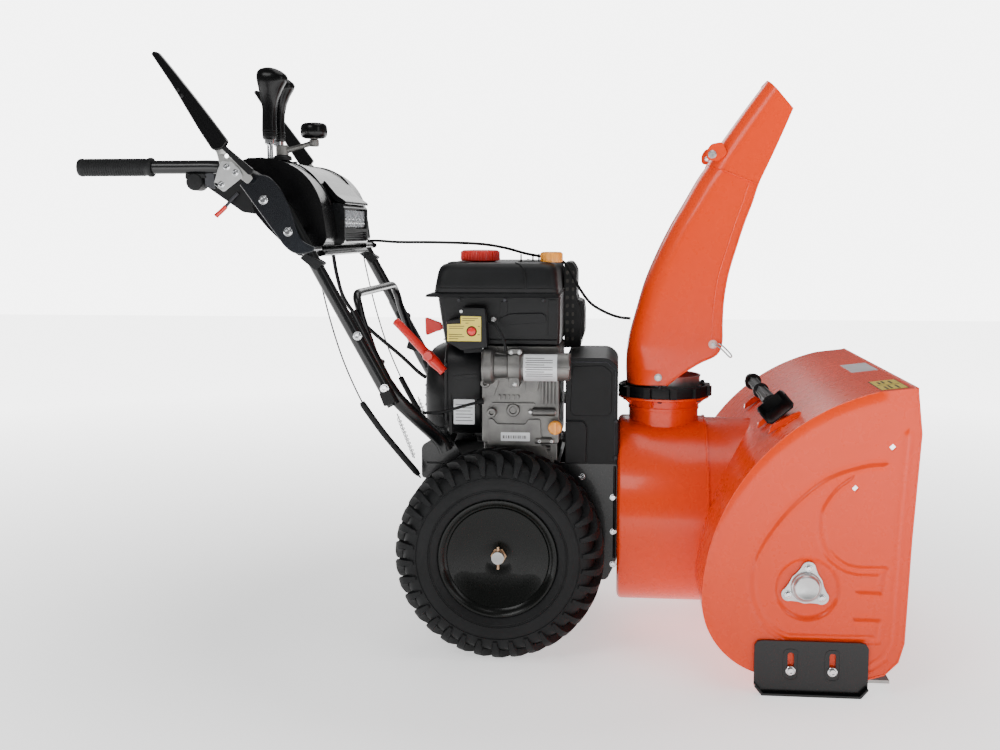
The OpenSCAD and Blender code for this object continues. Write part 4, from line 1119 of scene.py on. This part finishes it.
cap("fuel_cap_ribbed", -38, -60, 761.6, 37.5, 22, 36, "red", "tank_cap", ["fuel_cap"])
cap("oil_cap_ribbed", 108, -120, 761, 21, 20, 16, "amber", "oil_cap", ["oil_fill_cap"])
neckp = Shape()
neckp.lathe([(30, 759), (30, 761.3)], (-38, -60, 0), "z", n=64)
piece("filler_neck", neckp, "matte")
dipstick = Shape()
dipstick.lathe([(11, -156.4), (13, -158), (13.5, -168), (12, -171), (10, -171.6), (0.01, -171.6)],
               (119, 0, 443), n=40)
dipstick.prism(rounded([(115.5, 431), (122.5, 431), (122.5, 455), (115.5, 455)], 3), -170, -177)
piece("dipstick_head", dipstick, "amber", "dip_cap", swap=["dipstick"], bevel=1)

# silencer
silencer = Shape()
silencer.prism(oval(-38, 108, 562, 678, 18, 6), 184, 243)
piece("silencer_box", silencer, "iron", swap=["muffler"], bevel=8, seg=4)
guard = Shape()
for k in range(7):
    z = 582 + 13 * k
    guard.prism(oval(-22, 92, z, z + 6, 3, 3), 241, 245)
guard.tube([(-46, 213, 560), (-20, 213, 560), (90, 213, 560), (112, 213, 560)], 24, 24)
piece("silencer_louvres", guard, "satin", bevel=0.6, seg=1)

# ------------------------------ handlebars, brace, grips
low = Shape()
path = smooth_path([(-98, -135.2, 389), (-103, -135.8, 400), (-109, -138.5, 410), (-119, -147, 423),
                    (-142, -174, 452),
                    (-168, -203, 485), (-181, -216, 503), (-194, -224, 524), (-208, -226.2, 548),
                    (-268, -226.2, 668)], 5)
low.tube(path, 13.9, 28)
piece("lower_handlebars", low, "black_paint", swap=["handlebar_lower"], mirror=True)
upper_tube = Shape()
bar = smooth_path([(-180, -254.5, 496), (-230, -254.5, 587), (-331, -254.5, 770), (-370, -254.5, 842),
                   (-386, -256, 868),
                   (-402, -260, 890), (-424, -268, 912), (-450, -277, 927), (-478, -286, 935),
                   (-505, -290, 938), (-560, -290, 938), (-700, -290, 938), (-757, -290, 938)], 6)
upper_tube.tube(bar, 12.4, 28)
piece("upper_handlebars", upper_tube, "black_paint", swap=["handlebar_upper"], mirror=True)
half = [(-222, -205, 572), (-238, -205, 620), (-249, -204.5, 652), (-255, -203, 676), (-260, -197, 692),
        (-262, -184, 700), (-262.5, -166, 702), (-262.5, -90, 702)]
brace = Shape()
brace.tube(smooth_path(half + [(x, -y, z) for x, y, z in half[::-1]], 6), 8, 24)
piece("cross_brace_tube", brace, "black_paint", swap=["cross_brace"])
feet = Shape()
feet.prism(rounded([(-236, 560), (-214, 552), (-206, 574), (-228, 584)], 4), -196, -213)
feet.prism(rounded([(-352, 772), (-338, 780), (-306, 762), (-322, 748)], 5), -240, -271)
feet.prism(rounded([(-206, 520), (-186, 528), (-174, 504), (-196, 494)], 5), -241, -269)
feet.prism(rounded([(-262, 640), (-250, 646), (-240, 622), (-254, 616)], 4), -212, -244)
piece("bar_clamps", feet, "matte", mirror=True, bevel=2)
grip_sleeve = Shape()
prof = [(0.01, -761.8), (11, -761.8), (15, -760.5), (16.6, -757), (16.6, -752), (15.6, -750)]
x = -748
while x < -636:
    prof += [(15.5, x), (16.3, x + 0.8), (16.3, x + 2.4), (15.5, x + 3.2)]
    x += 4.6
prof += [(15.6, -634), (15.9, -628), (17.6, -626), (17.8, -621), (17, -619), (12.5, -618.6)]
grip_sleeve.lathe(prof, (0, -290, 938), "x", n=64)
piece("grip_sleeves", grip_sleeve, "rubber", swap=["grips"], mirror=True, angle=40)

# small fittings under the near end of the bar
cable_block = Shape()
cable_block.lathe([(0.01, -301), (5, -301), (14, -300), (16, -297), (16, -262), (14, -259), (0.01, -259)],
                  (-539, 0, 911), n=40)
cable_block.prism(rounded([(-556, 926), (-520, 926), (-516, 918), (-556, 916)], 3), -298, -282)
piece("cable_block", cable_block, "rubber", bevel=0.8, mirror=True)
cable_tab = Shape()
cable_tab.prism(rounded([(-520, 926), (-502, 926), (-500, 898), (-519, 902)], 3), -296, -292.8)
piece("cable_tab", cable_tab, "grey", bevel=0.6, mirror=True)

# ------------------------------ lever brackets and clutch levers
bracket = Shape()
bracket.prism(rounded([(-498, 906), (-480, 892), (-443, 919), (-451, 935), (-464, 946), (-482, 948),
                       (-489, 934)], 4), -308.3, -311)
bracket.prism(rounded([(-497, 905), (-482, 897), (-482, 902), (-496, 910)], 1), -311, -289)
piece("zinc_brackets", bracket, "zinc", swap=["lever_brackets"], bevel=0.6, seg=2, mirror=True)
bracket_bolt = Shape()
for x, z in ((-472.7, 937), (-457, 926.5), (-483.5, 905.5)):
    screw(bracket_bolt, x, -311, z, 4.4)
piece("bracket_bolts", bracket_bolt, "chrome", mirror=True)
for side, word, body in ((-1, "right", "drive_clutch"), (1, "left", "auger_clutch")):
    k = side
    tang = Shape()
    tang.prism(rounded([(-600, 1130), (-590, 1134), (-482, 985), (-437, 928), (-425, 917), (-436, 906),
                        (-461, 926), (-487, 940), (-492, 962)], 4), k * 303.8, k * 307.6)
    ob = piece("lever_tang_" + word, tang, "satin", body, swap=["clutch_lever_" + word], bevel=0.7, seg=2)
    carve(ob, Shape().lathe([(4.2, -320), (4.2, 320)], (-474, 0, 957), n=20))
    grip = Shape()
    prof = rounded([(-606, 1139), (-601.5, 1143.5), (-593, 1142), (-572, 1117), (-521, 1053), (-468, 982),
                    (-478, 969),
                    (-496, 965), (-520, 1001), (-566, 1079)], [4, 4, 4, 20, 20, 6, 6, 8, 20, 20], 5)
    grip.prism(prof, k * 303.4, k * 318)
    piece("lever_cover_" + word, grip, "gloss", body, bevel=4.5, seg=5)
    strap = Shape()
    strap.prism(rounded([(-498, 986), (-492, 990), (-423, 932), (-425, 924), (-432, 922)], 3), k * 308,
                k * 312.5)
    piece("lever_strap_" + word, strap, "black_paint", body, bevel=1)
    rivets = Shape()
    screw(rivets, -551, k * 318, 1064, 3, side)
    screw(rivets, -558, k * 318, 1074, 3, side)
    piece("lever_rivets_" + word, rivets, "black_paint", body)

# ------------------------------ console
cowl = Shape()
line = rounded([(-470, 959.5), (-431, 960), (-396, 953), (-364, 936), (-341, 911), (-326, 880),
                (-320, 842), (-315, 804), (-326, 791), (-383, 781), (-430, 826), (-457, 858)],
               [6, 30, 30, 30, 30, 30, 30, 10, 10, 20, 10, 8], 6)
cowl.prism(line, -205, 205)
shell = piece("console_cowl", cowl, "gloss", swap=["console_shell"])
for y in (-STICK_Y, STICK_Y):
    carve(shell, Shape().prism(oval(-489, -396, y - 9, y + 9, 8, 4), 862, 1000, "z"))
b = shell.modifiers.new("edges", "BEVEL")
b.width, b.segments, b.limit_method, b.angle_limit = 0.005, 4, "ANGLE", radians(50)
b.harden_normals = True
tray = Shape()
tray.prism(rounded([(-468, 956), (-562, 926), (-565, 916), (-480, 857), (-452, 853), (-462, 880)], 4),
           -198, 198)
tray_ob = piece("console_tray", tray, "matte")
cut = Shape()
cut.prism([(-452, 960), (-472, 951), (-556, 922), (-556, 917), (-479, 864), (-452, 864)], -194, 194)
carve(tray_ob, cut)
deck = Shape()
deck.prism(rounded([(-560, 924), (-562, 928), (-470, 958.5), (-440, 961), (-440, 957.5), (-469, 955)],
                   1.5), -198, 198)
deck_ob = piece("console_deck", deck, "duct")
for y in (-STICK_Y, STICK_Y):
    carve(deck_ob, Shape().prism(oval(-489, -396, y - 9, y + 9, 8, 4), 900, 1000, "z"))
slots = Shape()
for y in (-STICK_Y, STICK_Y):
    a, c = oval(-492, -434, y - 13, y + 13, 11, 5), oval(-488, -436, y - 9.4, y + 9.4, 8, 5)
    slots.rings([[(p[0], p[1], 958 + (p[0] + 470) * 0.1) for p in a],
                 [(p[0], p[1], 961.5 + (p[0] + 470) * 0.1) for p in a],
                 [(p[0], p[1], 961.5 + (p[0] + 470) * 0.1) for p in c],
                 [(p[0], p[1], 958 + (p[0] + 470) * 0.1) for p in c]], wrap=True)
slots.lathe([(18, 958), (18, 964), (15, 967), (11, 967), (11, 958)], (CRANK_X, CRANK_Y, 0), "z", n=40,
            close=True)
piece("lever_slot_rims", slots, "matte")
creases = Shape()
for s in (-1, 1):
    creases.tube(smooth_path([(-437, s * 150, 960.2), (-400, s * 150, 955), (-368, s * 148, 939.5),
                              (-345, s * 140, 915),
                              (-331, s * 132, 888), (-326, s * 124, 872)], 6), 1.8, 8)
creases.prism(rounded([(-340, 792), (-324, 784), (-318, 776), (-334, 772), (-372, 774), (-384, 782)], 4),
              -200, 200)
piece("console_creases", creases, "gloss", bevel=1.0, seg=2)
brow = Shape()
brow.prism(rounded([(-346, 915), (-326, 884), (-318, 878), (-300, 874), (-300, 880), (-318, 892),
                    (-342, 921)], 4), -108, 108)
piece("lamp_brow", brow, "gloss", bevel=3)

bezel = Shape()
bezel.prism(rounded([(-334, 794), (-334, 876), (-309, 876), (-302, 868), (-302, 800), (-308, 794)], 4),
            -112, 112)
bezel_ob = piece("lamp_bezel", bezel, "black_paint", swap=["headlight"])
carve(bezel_ob, Shape().box((-315, -102, 826), (-290, 102, 866)))
carve(bezel_ob, Shape().box((-309, -98, 800), (-290, 98, 819)))
b = bezel_ob.modifiers.new("edges", "BEVEL")
b.width, b.segments, b.limit_method, b.angle_limit = 0.0022, 3, "ANGLE", radians(40)
b.harden_normals = True
lens = Shape()
for k in range(6):
    y = -99 + 33.4 * k
    lens.prism(oval(y, y + 31, 829, 863, 3, 3), -314, -306.5, "x")
piece("lamp_lens_cells", lens, "lens", bevel=2.4, seg=3)
leds = Shape()
for k in range(6):
    for j in range(3):
        leds.lathe([(3.4, -307), (3, -305.2), (0.01, -304.6)],
                   (0, -90 + 33.4 * k + 7 * j, 838 + 8 * (j % 2)), "x", n=16)
for k in range(6):
    leds.box((-307, -98 + 33.4 * k, 845.3), (-305.8, -69 + 33.4 * k, 846.4))
piece("lamp_beads", leds, "chrome")
fins = Shape()
for k in range(4):
    fins.prism([(-309, 801 + 4.6 * k), (-309, 803 + 4.6 * k), (-303, 802.2 + 4.6 * k),
                (-303, 801.2 + 4.6 * k)], -97, 97)
piece("lamp_grille", fins, "grey")

side_plate = Shape()
side_plate.prism(rounded([(-458, 908), (-424, 925), (-408, 923), (-396, 917), (-377, 894), (-366, 870),
                          (-359, 849), (-352, 824), (-342, 803),
                  (-318, 792), (-319, 784), (-343, 778), (-360, 781), (-375, 793), (-394, 820),
                          (-411, 843)],
                 [5, 8, 10, 10, 20, 20, 20, 20, 12, 4, 4, 12, 12, 12, 20, 30], 5), -285.6, -290)
piece("side_plates", side_plate, "blue_black", swap=["console_side_plates"], bevel=1.8, seg=3,
      mirror=True)
stand = Shape()
for x, z in ((-412, 878), (-367, 820), (-336, 788)):
    stand.lathe([(7, -204), (7, -286)], (x + 4, 0, z), n=20)
piece("console_stays", stand, "black_paint", mirror=True)
red = Shape()
red.tube(smooth_path([(-488, -202, 893), (-502, -205, 878), (-512, -207, 866)], 4), 3.2, 10)
piece("latch_rod", red, "grey")
red = Shape()
red.tube(smooth_path([(-510, -207, 868), (-518, -208, 860), (-527, -209, 852), (-530, -209, 849)], 4),
         [4.5] * 10 + [5.4, 5.2, 2.5], 12)
piece("latch_tip", red, "red")


# ------------------------------ knobs, sticks and the chute crank
def stick(y, scale, name, body, swap):
    s = Shape()
    x0 = STICK_X
    levels = ((1006, 13, 13, 12), (1010, 14.5, 14, 13), (1024, 15.5, 14, 13.5), (1040, 15, 13.5, 13.5),
              (1066, 14, 15, 13.5),
              (1088, 16.5, 20, 15), (1106, 20.5, 28, 18), (1119, 23, 36, 20.5), (1128, 24.5, 39.5, 21.5),
              (1135, 24.5, 36, 20.5), (1142, 22.5, 27, 18), (1147, 17, 16, 13), (1149.6, 8, 6, 6))
    rings = []
    for z, xl, xr, w in levels:
        r = []
        for k in range(40):
            a = 2 * pi * k / 40
            ca, sa = cos(a), sin(a)
            ex = abs(ca) ** 0.85 * (1 if ca > 0 else -1)
            ey = abs(sa) ** 0.85 * (1 if sa > 0 else -1)
            r.append((x0 + (xr if ca > 0 else xl) * scale * ex, y + w * scale * ey,
                      z if scale == 1 else 1006 + (z - 1006) * scale))
        rings.append(r)
    s.rings(rings)
    piece(name + "_knob", s, "gloss", body, swap=[swap], angle=60)
    ridge = Shape()
    for k in range(3):
        ridge.lathe([(13 * scale, 1012 + 5 * k), (15.2 * scale, 1013 + 5 * k),
                     (15.2 * scale, 1014.5 + 5 * k), (13 * scale, 1015.5 + 5 * k)],
                    (x0, y, 0), "z", n=40, close=True)
    piece(name + "_collar", ridge, "matte", body)
    rod = Shape()
    rod.lathe([(6, 884), (6, 1004), (4, 1008), (0.01, 1008)], (x0, y, 0), "z", n=24)
    rod.lathe([(9, 996), (10.5, 998), (10.5, 1006), (8, 1007)], (x0, y, 0), "z", n=32, close=False)
    rod.lathe([(9, y - 12), (9, y + 12)], (x0, 0, 880), n=32)
    piece(name + "_rod", rod, "chrome", body, bevel=0.4, seg=2)


stick(-STICK_Y, 1.0, "speed_stick", "speed_stick", "speed_lever")
stick(STICK_Y, 0.93, "deflector_stick", "deflector_stick", "deflector_lever")
arm = Shape()
arm.lathe([(8, 882), (8, 966), (12, 968), (12, 984), (10, 987), (6, 987), (0.01, 987)],
          (CRANK_X, CRANK_Y, 0), "z", n=32)
arm.tube([(-410, -140, 976), (-392, -140, 981), (-370, -140, 987), (-356, -140, 991)], [8, 6.4, 6, 7], 16,
         flat=0.62)
arm.lathe([(0.01, 984), (8, 984), (9.5, 986), (9.5, 996), (7, 998), (4.8, 998), (4.8, 1016),
           (0.01, 1016)], (KNOB_X, CRANK_Y, 0), "z", n=32)
piece("crank_arm", arm, "alloy", "crank", swap=["chute_crank"], bevel=0.5, seg=2)
knob_grip = Shape()
knob_grip.lathe([(5.2, 999.5), (18, 999.5), (23, 1001.5), (25.4, 1006), (26, 1013), (25.6, 1021),
                 (23.5, 1026), (19, 1028.5), (10, 1029.5),
          (0.01, 1029.8), (0.01, 1018), (5.2, 1018)], (KNOB_X, CRANK_Y, 0), "z", n=64, close=True)
piece("crank_grip_knob", knob_grip, "gloss", "knob", swap=["crank_knob"], angle=50)

# ------------------------------ cables, each at its own length
def cable(name, route, r, mat="rubber", body="chassis", swap=(),
          per=6):
    line = smooth_path(route, per)
    ob = piece(name, Shape().tube(line, r, 12), mat, body, swap=swap)
    return ob


for s, word in ((-1, "right"), (1, "left")):
    line = smooth_path([(-249, s * 205.5, 490), (-246, s * 205, 484), (-215, s * 190, 434),
                        (-181, s * 173, 386), (-150, s * 158, 344)], 6)
    sleeve = piece("cable_sleeve_" + word, Shape().tube(line,
                                                        [2.4, 3.2] + [6.3] * (len(line) - 4) + [6.3, 4.5],
                                                        16), "rubber")
    cable("clutch_cable_" + word, [(-335, s * 215, 778), (-330, s * 215, 744), (-309, s * 215, 653),
                                   (-282, s * 212, 566),
                                   (-246, s * 205, 484), (-215, s * 190, 434), (-181, s * 173, 386),
                                   (-150, s * 158, 344),
                                   (-153, s * 140, 338), (-153, s * 118, 330)], 1.5, "iron",
          swap=["control_cables"] if s < 0 else ())
springs = Shape()
for s in (-1, 1):
    coil = [(-195 + 30 * t + 3.6 * cos(67 * t), s * (126 - 4 * t), 452 - 78 * t + 3.6 * sin(67 * t))
            for t in
            [k / 89 for k in range(90)]]
    springs.tube(coil, 0.9, 6)
    springs.tube([(-198, s * 126, 460), (-164, s * 122, 370)], 1.3, 8)
piece("return_springs", springs, "zinc")
cable("speed_cable", [(-353, 0, 778), (-345, 0, 730), (-329, 0, 679), (-287, 0, 627), (-214, 0, 565),
                      (-176, 0, 530), (-159, 0, 518)], 4)
cable("throttle_cable", [(-140, -160, 468), (-107, -160, 469), (-60, -158, 482), (-30, -153.5, 490)], 3)
piece("throttle_cable_end", Shape().tube([(-34, -155, 489), (-22, -152, 492)], 6, 16), "rubber",
      bevel=0.6)
cable("starter_lead", [(-8, -176, 650), (8, -190, 640), (22, -196, 615), (26, -196, 594)], 3)
chute_line = cable("chute_control_cable", [(-315, 150, 799), (-298, 145, 800), (-274, 110, 800),
                                           (-224, 60, 798), (-134, 10, 798),
                                           (-46, 0, 795), (6, 0, 787), (47, 0, 776), (85, -5, 769),
                                           (112, -15, 764), (135, -30, 752),
                                           (158, -38, 710), (182, -40, 678), (211, -40, 660),
                                           (238, -40, 650), (263, -40, 647)],
                   3, body=None, swap=["chute_cable"], per=10)
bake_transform(chute_line)

# ------------------------------ floor and finish
floor = bpy.data.meshes.new("floor")
floor.from_pydata([(-9, -6, 0), (9, -6, 0), (9, 9, 0), (-9, 9, 0)], [], [(0, 1, 2, 3)])
ground = bpy.data.objects.new("floor", floor)
bpy.context.collection.objects.link(ground)
floor.materials.append(M["floor"])
